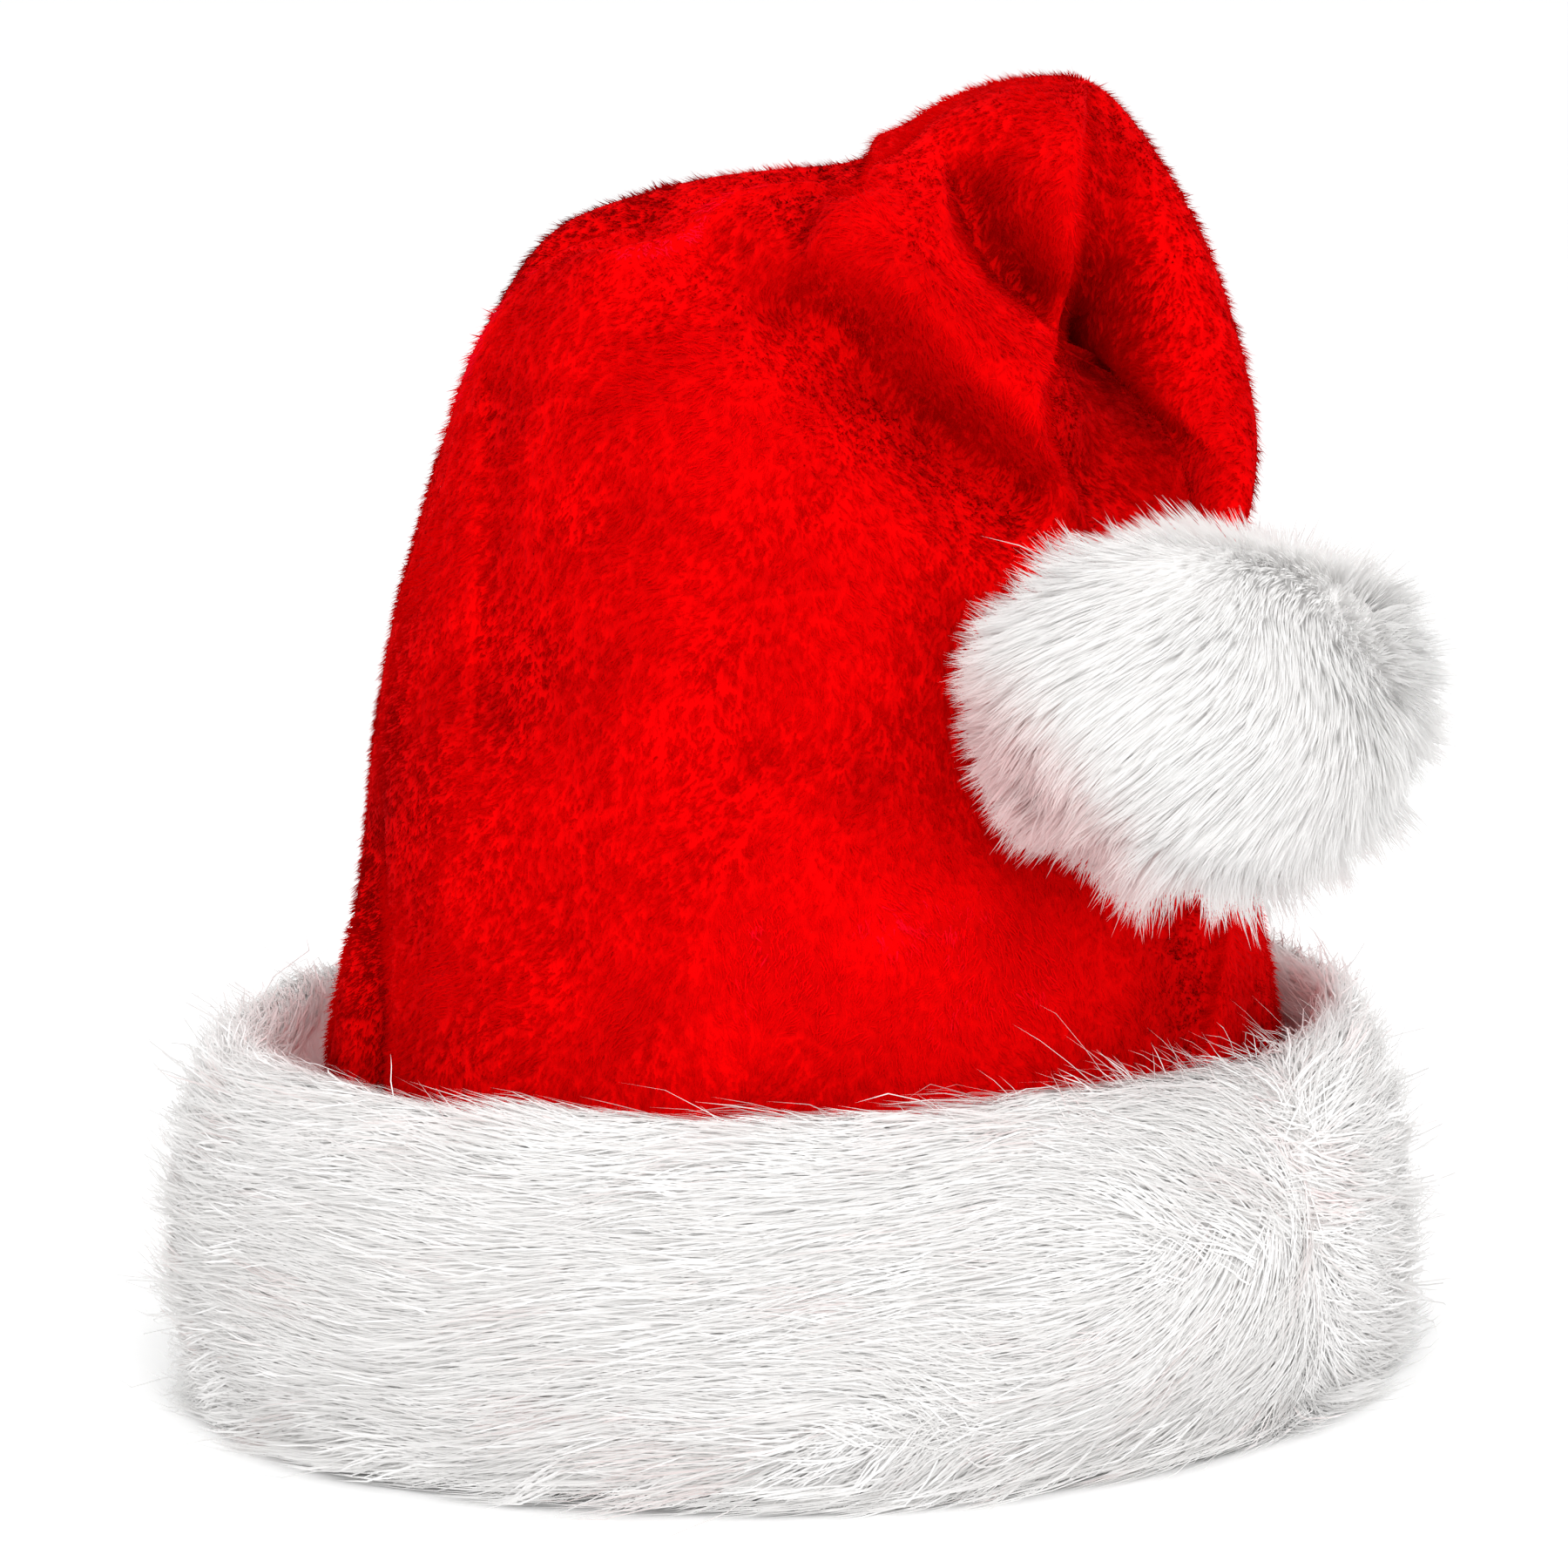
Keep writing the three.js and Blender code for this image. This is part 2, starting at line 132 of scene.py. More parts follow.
def rotate_about(vectors: Array, axes: Array, angles: Array) -> Array:
    """Turn vectors about unit axes.

    Args:
        vectors: Vectors, one to a row.
        axes: Unit axes, one to a row.
        angles: Angles in radians, one to a row.

    Returns:
        The turned vectors.
    """
    cosine = np.cos(angles)[:, None]
    sine = np.sin(angles)[:, None]
    along = (vectors * axes).sum(1, keepdims=True)
    return vectors * cosine + np.cross(axes, vectors) * sine + axes * along * (1.0 - cosine)


def distance_to_line(a: Array, b: Array, line: Line) -> tuple[Array, Array, Array]:
    """Measure how far places in a plane are from a line of points.

    Args:
        a: First coordinates of the places.
        b: Second coordinates of the places.
        line: The line's corners.

    Returns:
        A distance for each place, above 0 on the line's left, how far past the line's ends the
        place lies, and the step to it from the nearest point of the line.
    """
    nearest, past, gap = np.full(len(a), np.inf), np.zeros(len(a)), np.zeros((len(a), 2))
    last = len(line) - 2
    for index, ((a0, b0), (a1, b1)) in enumerate(zip(line[:-1], line[1:])):
        run_a, run_b = a1 - a0, b1 - b0
        size = math.hypot(run_a, run_b)
        raw = ((a - a0) * run_a + (b - b0) * run_b) / size**2
        share = np.clip(raw, 0.0, 1.0)
        step = np.stack([a - a0 - share * run_a, b - b0 - share * run_b], axis=1)
        away = np.hypot(*step.T)
        left = np.where(run_a * (b - b0) - run_b * (a - a0) >= 0.0, 1.0, -1.0)
        beyond = np.zeros(len(a))
        if index == 0:
            beyond = np.maximum(beyond, -raw * size)
        if index == last:
            beyond = np.maximum(beyond, (raw - 1.0) * size)
        closer = away < np.abs(nearest)
        nearest = np.where(closer, left * away, nearest)
        past = np.where(closer, beyond, past)
        gap = np.where(closer[:, None], step, gap)
    return nearest, past, gap


class SoftNoise:
    """A smooth random field in space, made of a few waves."""

    def __init__(self, seed: int, size: float, waves: int = 14) -> None:
        """Choose the waves.

        Args:
            seed: Makes the field repeatable.
            size: The usual length of a wave.
            waves: How many waves are added up.
        """
        rng = np.random.default_rng(seed)
        length = size * rng.uniform(0.6, 1.6, waves)
        self.ways = unit(rng.normal(size=(waves, 3))) * (FULL_TURN / length)[:, None]
        self.phases = rng.uniform(0.0, FULL_TURN, waves)

    def at(self, places: Array) -> Array:
        """Look the field up: a value from about -1 to 1 for each place."""
        waves = np.sin(places @ self.ways.T + self.phases)
        return waves.sum(1) / math.sqrt(len(self.phases)) * 0.8


def nearest_of(guides: Array, places: Array) -> Array:
    """Find the nearest guide of each place.

    Args:
        guides: Guide places, one to a row.
        places: The places to serve.

    Returns:
        The index of a guide for each place.
    """
    tree = KDTree(len(guides))
    for index, guide in enumerate(guides):
        tree.insert(guide, index)
    tree.balance()
    return np.array([tree.find(place)[1] for place in places], int)


def deselect_all() -> None:
    """Leave edit mode and deselect every object."""
    if bpy.context.mode != "OBJECT":
        bpy.ops.object.mode_set(mode="OBJECT")
    bpy.ops.object.select_all(action="DESELECT")


def take(target: Object) -> None:
    """Make an object the only selected one."""
    deselect_all()
    target.select_set(True)
    bpy.context.view_layer.objects.active = target


@contextmanager
def editing(target: Object, chosen: Array | None = None, part: Part = Part.FACES) -> Iterator[None]:
    """Hold an object in edit mode, all of it selected unless some of it is chosen.

    Args:
        target: The object.
        chosen: True for each face or point to select.
        part: Whether faces or points are chosen.

    Yields:
        Nothing, while edit mode is on.
    """
    take(target)
    bpy.ops.object.mode_set(mode="EDIT")
    bpy.ops.mesh.select_mode(type=part.value)
    bpy.ops.mesh.select_all(action="SELECT" if chosen is None else "DESELECT")
    if chosen is not None:
        bpy.ops.object.mode_set(mode="OBJECT")
        parts = target.data.polygons if part is Part.FACES else target.data.vertices
        parts.foreach_set("select", chosen)
        bpy.ops.object.mode_set(mode="EDIT")
    yield
    bpy.ops.object.mode_set(mode="OBJECT")


def apply_modifier(target: Object, kind: str, **settings: object) -> None:
    """Add a modifier and apply it.

    Args:
        target: The object to change.
        kind: The modifier's type.
        settings: The modifier's values.
    """
    take(target)
    modifier = target.modifiers.new(kind.lower(), kind)
    for name, value in settings.items():
        setattr(modifier, name, value)
    bpy.ops.object.modifier_apply(modifier=modifier.name)


def read_points(target: Object, what: str) -> Array:
    """Read one vector of each of a mesh's points.

    Args:
        target: The object.
        what: The name of the vector.

    Returns:
        The vectors, one to a row.
    """
    values = np.empty(len(target.data.vertices) * 3, np.float32)
    target.data.vertices.foreach_get(what, values)
    return values.reshape(-1, 3).astype(float)


def points_of(target: Object) -> Array:
    """Read a mesh's points, in millimetres, one to a row."""
    return read_points(target, "co") / MM


def place_points(target: Object, places: Array) -> None:
    """Move a mesh's points to places in millimetres."""
    target.data.vertices.foreach_set("co", (places * MM).astype(np.float32).ravel())
    target.data.update()


def hand_over(pieces: list[Object]) -> None:
    """Say which body each piece rides on."""
    for piece in pieces:
        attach(piece, BODY)


@dataclass
class Sampled:
    """Random places on a mesh.

    Attributes:
        place: Places in millimetres, one to a row.
        normal: The surface's normal at each place.
    """

    place: Array
    normal: Array

    @classmethod
    def on(cls, target: Object, count: int, rng: np.random.Generator) -> Sampled:
        """Spread places evenly over a mesh.

        Args:
            target: The object.
            count: How many places.
            rng: The source of random numbers.

        Returns:
            The places and their normals.
        """
        mesh = target.data
        mesh.calc_loop_triangles()
        faces = np.empty(len(mesh.loop_triangles) * 3, np.int32)
        mesh.loop_triangles.foreach_get("vertices", faces)
        faces = faces.reshape(-1, 3)
        places, facing = points_of(target), read_points(target, "normal")
        a, b, c = (places[faces[:, k]] for k in range(3))
        area = np.linalg.norm(np.cross(b - a, c - a), axis=1)
        chosen = rng.choice(len(faces), count, p=area / area.sum())
        u, v = rng.random((2, count))
        u, v = np.where(u + v > 1.0, 1.0 - u, u), np.where(u + v > 1.0, 1.0 - v, v)
        shares = np.stack([1.0 - u - v, u, v], axis=1)[:, :, None]
        corners = faces[chosen]
        return cls((places[corners] * shares).sum(1), unit((facing[corners] * shares).sum(1)))

    def keep(self, wanted: Array) -> Sampled:
        """Keep only the wanted places."""
        return Sampled(self.place[wanted], self.normal[wanted])


@dataclass
class Strands:
    """Many flat hairs, each a ribbon along a line of points that ends in a point.

    Attributes:
        line: Points of each hair from root to tip, in millimetres, by hair, step and axis.
        rise: The way the ribbon's flat side faces at each point.
        normal: The way light meets the hair at each point.
        half_width: Half the ribbon's width at each point.
        tone: Where on the finish's palette each hair lies, from 0 to 1.
        edge_tone: How far a ribbon's two edges lie from its tone.
    """

    line: Array
    rise: Array
    normal: Array
    half_width: Array
    tone: Array
    edge_tone: float = 0.012

    def mesh(self, name: str) -> Object:
        """Make one joined mesh of all the hairs.

        Args:
            name: The new object's name.

        Returns:
            The object, linked to the scene.
        """
        hairs, steps, _ = self.line.shape
        across = unit(np.cross(unit(np.gradient(self.line, axis=1)), self.rise))
        half = self.half_width[:, :-1, None] * across[:, :-1]
        middle = self.line[:, :-1]
        places = self._by_point(np.stack([middle - half, middle + half], axis=2), self.line[:, -1:])
        facing = self._by_point(np.repeat(self.normal[:, :-1, None], 2, 2), self.normal[:, -1:])
        tones = self.tone[:, None, None] + self.edge_tone * np.array([-1.0, 1.0])
        tones = np.broadcast_to(tones, (hairs, steps - 1, 2))
        heights = np.broadcast_to(np.linspace(0.0, 1.0, steps)[:-1, None], tones.shape)
        tips = np.stack([self.tone, np.ones(hairs)], axis=1)[:, None]
        palette = self._by_point(np.stack([tones, heights], axis=-1), tips)
        quads = 2 * np.arange(steps - 2)[:, None] + np.array([0, 1, 3, 2])
        one_hair = np.r_[quads.ravel(), 2 * (steps - 2) + np.arange(3)]
        corners = (one_hair + np.arange(hairs)[:, None] * places.shape[1]).ravel()
        sizes = np.tile(np.r_[np.full(len(quads), 4), 3], hairs)
        mesh = bpy.data.meshes.new(name)
        mesh.vertices.add(hairs * places.shape[1])
        mesh.vertices.foreach_set("co", (places * MM).astype(np.float32).ravel())
        mesh.loops.add(len(corners))
        mesh.loops.foreach_set("vertex_index", corners.astype(np.int32))
        mesh.polygons.add(len(sizes))
        mesh.polygons.foreach_set("loop_start", (np.cumsum(sizes) - sizes).astype(np.int32))
        mesh.polygons.foreach_set("use_smooth", np.ones(len(sizes), bool))
        mesh.update(calc_edges=True)
        spots = palette.reshape(-1, 2)[corners].astype(np.float32).ravel()
        for layer in ("strand", "OFBake"):
            mesh.uv_layers.new(name=layer).data.foreach_set("uv", spots)
        mesh.normals_split_custom_set_from_vertices(unit(facing).reshape(-1, 3))
        made = bpy.data.objects.new(name, mesh)
        bpy.context.scene.collection.objects.link(made)
        return made

    @staticmethod
    def _by_point(edges: Array, tips: Array) -> Array:
        """List the values at a hair's edges, from root to tip, and then the one at its tip."""
        return np.concatenate([edges.reshape(len(edges), -1, edges.shape[-1]), tips], axis=1)


class Nodes:
    """A tree of nodes, with helpers to add to it."""

    def __init__(self, tree: bpy.types.NodeTree) -> None:
        """Take the tree."""
        self.tree = tree

    def add(
        self, kind: str, fed: dict[str | int, object] | None = None, **settings: object
    ) -> bpy.types.Node:
        """Add a node.

        Args:
            kind: The node's type.
            fed: What its inputs are fed.
            settings: Properties of the node.

        Returns:
            The node.
        """
        node = self.tree.nodes.new(kind)
        for name, value in settings.items():
            setattr(node, name, value)
        self.feed(node, fed or {})
        return node

    def feed(self, node: bpy.types.Node, fed: dict[str | int, object]) -> None:
        """Set a node's inputs, or link those that are given a socket.

        Args:
            node: The node.
            fed: A value or a socket for each input, by its name or number.
        """
        for name, value in fed.items():
            if isinstance(value, bpy.types.NodeSocket):
                self.tree.links.new(value, node.inputs[name])
            else:
                node.inputs[name].default_value = value


class Finish(Nodes):
    """A material with one main shader."""

    def __init__(self, name: str) -> None:
        """Start the material under its name."""
        self.material = bpy.data.materials.new(name)
        self.material.use_nodes = True
        super().__init__(self.material.node_tree)
        self.shader = self.tree.nodes["Principled BSDF"]

    def colours(self, stops: Palette, share: bpy.types.NodeSocket) -> bpy.types.NodeSocket:
        """Add a colour ramp.

        Args:
            stops: Places and colours along the ramp.
            share: The socket that looks the ramp up.

        Returns:
            The ramp's colour.
        """
        node = self.add("ShaderNodeValToRGB", {0: share})
        marks = node.color_ramp.elements
        while len(marks) < len(stops):
            marks.new(0.5)
        for mark, (place, colour) in zip(marks, stops):
            mark.position = place
            mark.color = (*colour, 1.0)
        return node.outputs[0]


@dataclass(frozen=True)
class HairFinish:
    """Finish of hairs whose own map runs across the palette.

    Attributes:
        name: The material's name.
        palette: Colours from the dullest hairs to the brightest.
        through: The share of light that passes through a hair.
    """

    name: str
    palette: Palette
    through: float

    def material(self) -> bpy.types.Material:
        """Build the material."""
        finish = Finish(self.name)
        hair_map = finish.add("ShaderNodeUVMap", uv_map="strand")
        parts = finish.add("ShaderNodeSeparateXYZ", {0: hair_map.outputs[0]})
        colour = finish.colours(self.palette, parts.outputs["X"])
        finish.feed(finish.shader, {"Base Color": colour, "Roughness": 0.8, "Specular IOR Level": 0.0})
        if self.through > 0.0:
            glow = finish.add("ShaderNodeBsdfTranslucent", {"Color": colour})
            fed = {"Fac": self.through, 1: finish.shader.outputs[0], 2: glow.outputs[0]}
            mixed = finish.add("ShaderNodeMixShader", fed)
            finish.feed(finish.tree.nodes["Material Output"], {"Surface": mixed.outputs[0]})
        return finish.material


@dataclass(frozen=True)
class ClothFinish:
    """Finish of the cloth under the hairs: mottled colour and a fine brushed grain.

    Attributes:
        name: The material's name.
        dark: The colour between the hairs.
        light: The colour on top of the grain.
        sheen_tint: The sheen's colour.
        grain_mm: The size of the grain.
        relief_mm: The depth of the grain.
    """

    name: str
    dark: Way
    light: Way
    sheen_tint: Way
    grain_mm: float
    relief_mm: float

    def material(self) -> bpy.types.Material:
        """Build the material."""
        finish = Finish(self.name)
        where = finish.add("ShaderNodeTexCoord").outputs["Object"]
        drawn_out = finish.add("ShaderNodeMapping", {"Vector": where, "Scale": (1.0, 1.0, 0.45)})
        fine = {"Vector": drawn_out.outputs[0], "Scale": 1.0 / (self.grain_mm * MM), "Detail": 3.0}
        grain = finish.add("ShaderNodeTexNoise", fine).outputs["Fac"]
        patches = finish.add("ShaderNodeTexNoise", {"Vector": where, "Scale": 45.0}).outputs["Fac"]
        both = finish.add("ShaderNodeMath", {0: grain, 1: 0.6, 2: patches}, operation="MULTIPLY_ADD")
        colour = finish.colours(((0.55, self.dark), (1.0, self.light)), both.outputs[0])
        relief = finish.add("ShaderNodeBump", {"Distance": self.relief_mm * MM, "Height": grain})
        finish.feed(finish.shader, {
            "Base Color": colour,
            "Normal": relief.outputs[0],
            "Roughness": 0.95,
            "Sheen Weight": 0.05,
            "Sheen Roughness": 0.4,
            "Sheen Tint": (*self.sheen_tint, 1.0),
            "Specular IOR Level": 0.01,
        })
        return finish.material


RED_CLOTH = ClothFinish(
    "red plush ground", (0.50, 0.0004, 0.0008), (0.80, 0.0006, 0.001), (1.0, 0.015, 0.08), 1.6, 1.2
)
WHITE_CLOTH = ClothFinish(
    "white fur backing", (0.93, 0.92, 0.915), (0.97, 0.965, 0.96), (1.0, 1.0, 1.0), 1.4, 0.3
)
# the dark end serves the painted shade in grooves and troughs, the pinkish top end the painted sheen
# highlight on crests
RED_PILE = HairFinish(
    "red plush pile",
    (
        (0.0, (0.28, 0.0002, 0.0004)), (0.5, (0.69, 0.0004, 0.0008)),
        (0.85, (0.90, 0.0008, 0.002)), (1.0, (0.97, 0.004, 0.025)),
    ),
    0.2,
)
CUFF_FUR = HairFinish(
    "white long fur",
    (
        (0.0, (0.80, 0.537, 0.537)), (0.4, (0.87, 0.772, 0.762)),
        (0.7, (0.903, 0.895, 0.887)), (1.0, (0.93, 0.925, 0.92)),
    ),
    0.45,
)
UNDER_FUR = replace(CUFF_FUR, name="white underfur", through=0.0)
# the pinkish grey low end is the painted shade and painted red reflection on the side towards the crown
POMPOM_FUR = HairFinish(
    "white pompom fur",
    (
        (0.0, (0.86, 0.58, 0.58)), (0.4, (0.93, 0.83, 0.82)),
        (0.7, (0.945, 0.937, 0.93)), (1.0, (0.968, 0.963, 0.958)),
    ),
    0.5,
)


@dataclass(frozen=True)
class Side:
    """What a fold does to the cloth on one side of its line.

    Attributes:
        depth: How far the cloth sinks at the line. Below 0 it rises.
        reach: How far from the line that fades.
        shade: How far the pile's colour there moves along its palette: painted shade below 0, painted
            highlight above 0.
    """

    depth: float
    reach: float
    shade: float = 0.0


@dataclass(frozen=True)
class Fold:
    """A fold of the crown along a line, which sinks the cloth on each side of it.

    Attributes:
        seen: The side that the line is drawn from.
        line: Corners (x, z), or (x, y) from above, from the middle of the hem.
        left: The cloth left of the line.
        right: The cloth right of the line.
        edge: Half the width of the step from one side to the other.
    """

    seen: Seen
    line: Line
    left: Side
    right: Side
    edge: float = 1.6

    def sink(self, places: Array, facing: Array) -> Array:
        """Work out how the fold moves the cloth.

        Args:
            places: Points of the cloth from the middle of the hem.
            facing: The cloth's normals.

        Returns:
            A move for each point.
        """
        axis, way, seen_by = self._seen_by(facing)
        move = np.zeros_like(places)
        move[:, axis] = way * seen_by * self._spread(places, self.left.depth, self.right.depth)
        return move

    def shade(self, places: Array, facing: Array) -> Array:
        """Work out the fold's painted shade and painted highlight: how far it shifts the pile along its
        palette at each place.
        """
        return self._seen_by(facing)[2] * self._spread(places, self.left.shade, self.right.shade)

    def near(self, places: Array, facing: Array, reach: float) -> Array:
        """Find the points that the fold moves and that are close to its line.

        Args:
            places: Points of the cloth from the middle of the hem.
            facing: The cloth's normals.
            reach: How close they have to be.

        Returns:
            True for each such point.
        """
        away, past = self._measure(places)
        moved = self.left.depth != 0.0 or self.right.depth != 0.0
        return moved & (np.abs(away) < reach) & (past < reach) & (self._seen_by(facing)[2] > 0.05)

    def _spread(self, places: Array, left: float, right: float) -> Array:
        """Fade a value out on each side of the line.

        Args:
            places: Points of the cloth from the middle of the hem.
            left: The value at the line's left.
            right: The value at the line's right.

        Returns:
            The value at each point.
        """
        away, past = self._measure(places)
        share = ramp(-self.edge, self.edge, away)
        total = np.zeros(len(places))
        for value, side, part in ((left, self.left, share), (right, self.right, 1.0 - share)):
            total += part * value * np.exp(-(away**2 + past**2) / side.reach**2)
        return total

    def _seen_by(self, facing: Array) -> tuple[int, float, Array]:
        """Find the axis that the fold sinks along, its sign, and how far each point faces it."""
        axis, way = {Seen.FRONT: (1, 1.0), Seen.ABOVE: (2, -1.0)}[self.seen]
        return axis, way, ramp(-0.1, 0.35, -way * facing[:, axis])

    def _measure(self, places: Array) -> tuple[Array, Array]:
        """Measure how far points are from the line, and how far past its ends."""
        second = places[:, 1] if self.seen is Seen.ABOVE else places[:, 2]
        return distance_to_line(places[:, 0], second, self.line)[:2]


CROWN_FOLDS = (
    # the groove that slants down from the bend, with painted shade, and the ridge beside it, with a
    # painted highlight
    Fold(
        Seen.FRONT, ((6, 222), (12, 218), (21, 208), (31, 198), (48, 185)),
        Side(10.0, 8.0, -0.18), Side(10.0, 9.0, -0.22),
    ),
    Fold(
        Seen.FRONT, ((20, 243), (29, 226), (44, 208), (53, 196)),
        Side(-4.0, 8.0, 0.12), Side(-4.0, 8.0, 0.12),
    ),
    # the pocket in the bend, the bent tip's edge, the gap under the tip and the tip's shoulder, with
    # painted shade where the cloth sinks and painted highlight where it rises
    Fold(
        Seen.FRONT, ((36, 243), (37, 236), (42, 227), (51, 220)),
        Side(11.0, 9.0, -0.30), Side(-4.0, 6.0, 0.26),
    ),
    Fold(
        Seen.FRONT, ((64, 258), (61, 241), (60, 226), (57, 216), (53, 206), (53, 197), (58, 186)),
        Side(12.0, 10.0, -0.18), Side(-5.0, 6.0, 0.22), 1.2,
    ),
    Fold(
        Seen.FRONT, ((63, 209), (71, 204), (80, 197)),
        Side(-3.0, 8.0, 0.05), Side(9.0, 6.0, -0.15), 1.2,
    ),
    Fold(Seen.FRONT, ((9, 239), (17, 252)), Side(6.0, 8.0, -0.35), Side(-3.0, 7.0, 0.15)),
    # the pleat and the crease on the left, and the crease on the lower right, with painted shade on their
    # sunk sides and painted highlight beside them
    Fold(Seen.FRONT, ((-82.5, 112), (-82.3, 60)), Side(-3.0, 8.0, 0.12), Side(14.0, 13.0, -0.40)),
    Fold(Seen.FRONT, ((-59, 206), (-61.5, 148)), Side(3.0, 8.0, -0.12), Side(0.0, 8.0, 0.1)),
    Fold(Seen.FRONT, ((88, 100), (81, 72)), Side(-3.0, 6.0, 0.1), Side(3.0, 7.0, -0.1)),
    # the crests and troughs on top, front and back, with painted pinkish sheen highlights on the crests
    # and painted shade in the troughs
    Fold(
        Seen.ABOVE, ((-30, -31), (-18, -28), (-4, -24), (9, -25)),
        Side(-2.5, 5.0, 0.3), Side(-2.5, 3.0, 0.60),
    ),
    Fold(
        Seen.ABOVE, ((-30, -21), (-18, -18), (-6, -14), (9, -12)),
        Side(8.0, 8.0, -0.30), Side(8.0, 6.0, -0.1),
    ),
    Fold(Seen.ABOVE, ((-62, -9), (-45, -12), (-30, -8)), Side(-2.5, 6.0, 0.2), Side(-2.5, 5.0, 0.45)),
    Fold(Seen.ABOVE, ((-64, 3), (-46, 0), (-28, 4)), Side(7.0, 9.0, -0.60), Side(7.0, 6.0, -0.2)),
    # painted shade on the pile behind the crests, which moves no cloth, and the notch beside the tip,
    # with painted shade and highlight
    Fold(Seen.ABOVE, ((-62, 13), (-28, 15)), Side(0.0, 14.0, -0.9), Side(0.0, 11.0, -0.9)),
    Fold(Seen.ABOVE, ((2, 6), (18, 8)), Side(0.0, 9.0, -0.6), Side(0.0, 9.0, -0.6)),
    Fold(Seen.ABOVE, ((19, -30), (21, 18)), Side(3.0, 8.0, -0.2), Side(-2.0, 6.0, 0.15)),
)


@dataclass(frozen=True)
class PaintedLightPatch:
    """A patch of the crown's pile with painted shade or painted highlight, its colour darker or lighter.

    Attributes:
        middle: Its middle (x, z) seen from the front, from the middle of the hem.
        reach: How far it fades sideways and upwards.
        shift: How far it moves the pile's colour along its palette: painted shade below 0, painted
            highlight above 0.
    """

    middle: tuple[float, float]
    reach: tuple[float, float]
    shift: float

    def shade(self, places: Array, facing: Array) -> Array:
        """Look up the patch's shift.

        Args:
            places: Places on the cloth from the middle of the hem.
            facing: The cloth's normals.

        Returns:
            A shift for each place.
        """
        across = (places[:, 0] - self.middle[0]) / self.reach[0]
        along = (places[:, 2] - self.middle[1]) / self.reach[1]
        return self.shift * ramp(0.0, 0.4, -facing[:, 1]) * np.exp(-(across**2) - along**2)


# painted highlights on bulges, a bright spot and the upper left edge; painted shade in dimples, a crease,
# the pompom's shadow, the lower left edge and the bent tip's face turned from the light
PAINTED_LIGHT_PATCHES = (
    PaintedLightPatch((-8, 206), (22, 12), 0.20),
    PaintedLightPatch((22, 109), (38, 13), 0.20),
    PaintedLightPatch((-50, 150), (13, 16), -0.26),
    PaintedLightPatch((-45, 102), (14, 14), -0.18),
    PaintedLightPatch((18, 134), (30, 7), -0.16),
    PaintedLightPatch((34, 158), (10, 24), -0.16),
    PaintedLightPatch((-74, 180), (6, 26), 0.18),
    PaintedLightPatch((18, 90), (62, 26), 0.24),
    PaintedLightPatch((-82, 135), (14, 45), -0.42),
    PaintedLightPatch((78, 226), (9, 26), -0.22),
)


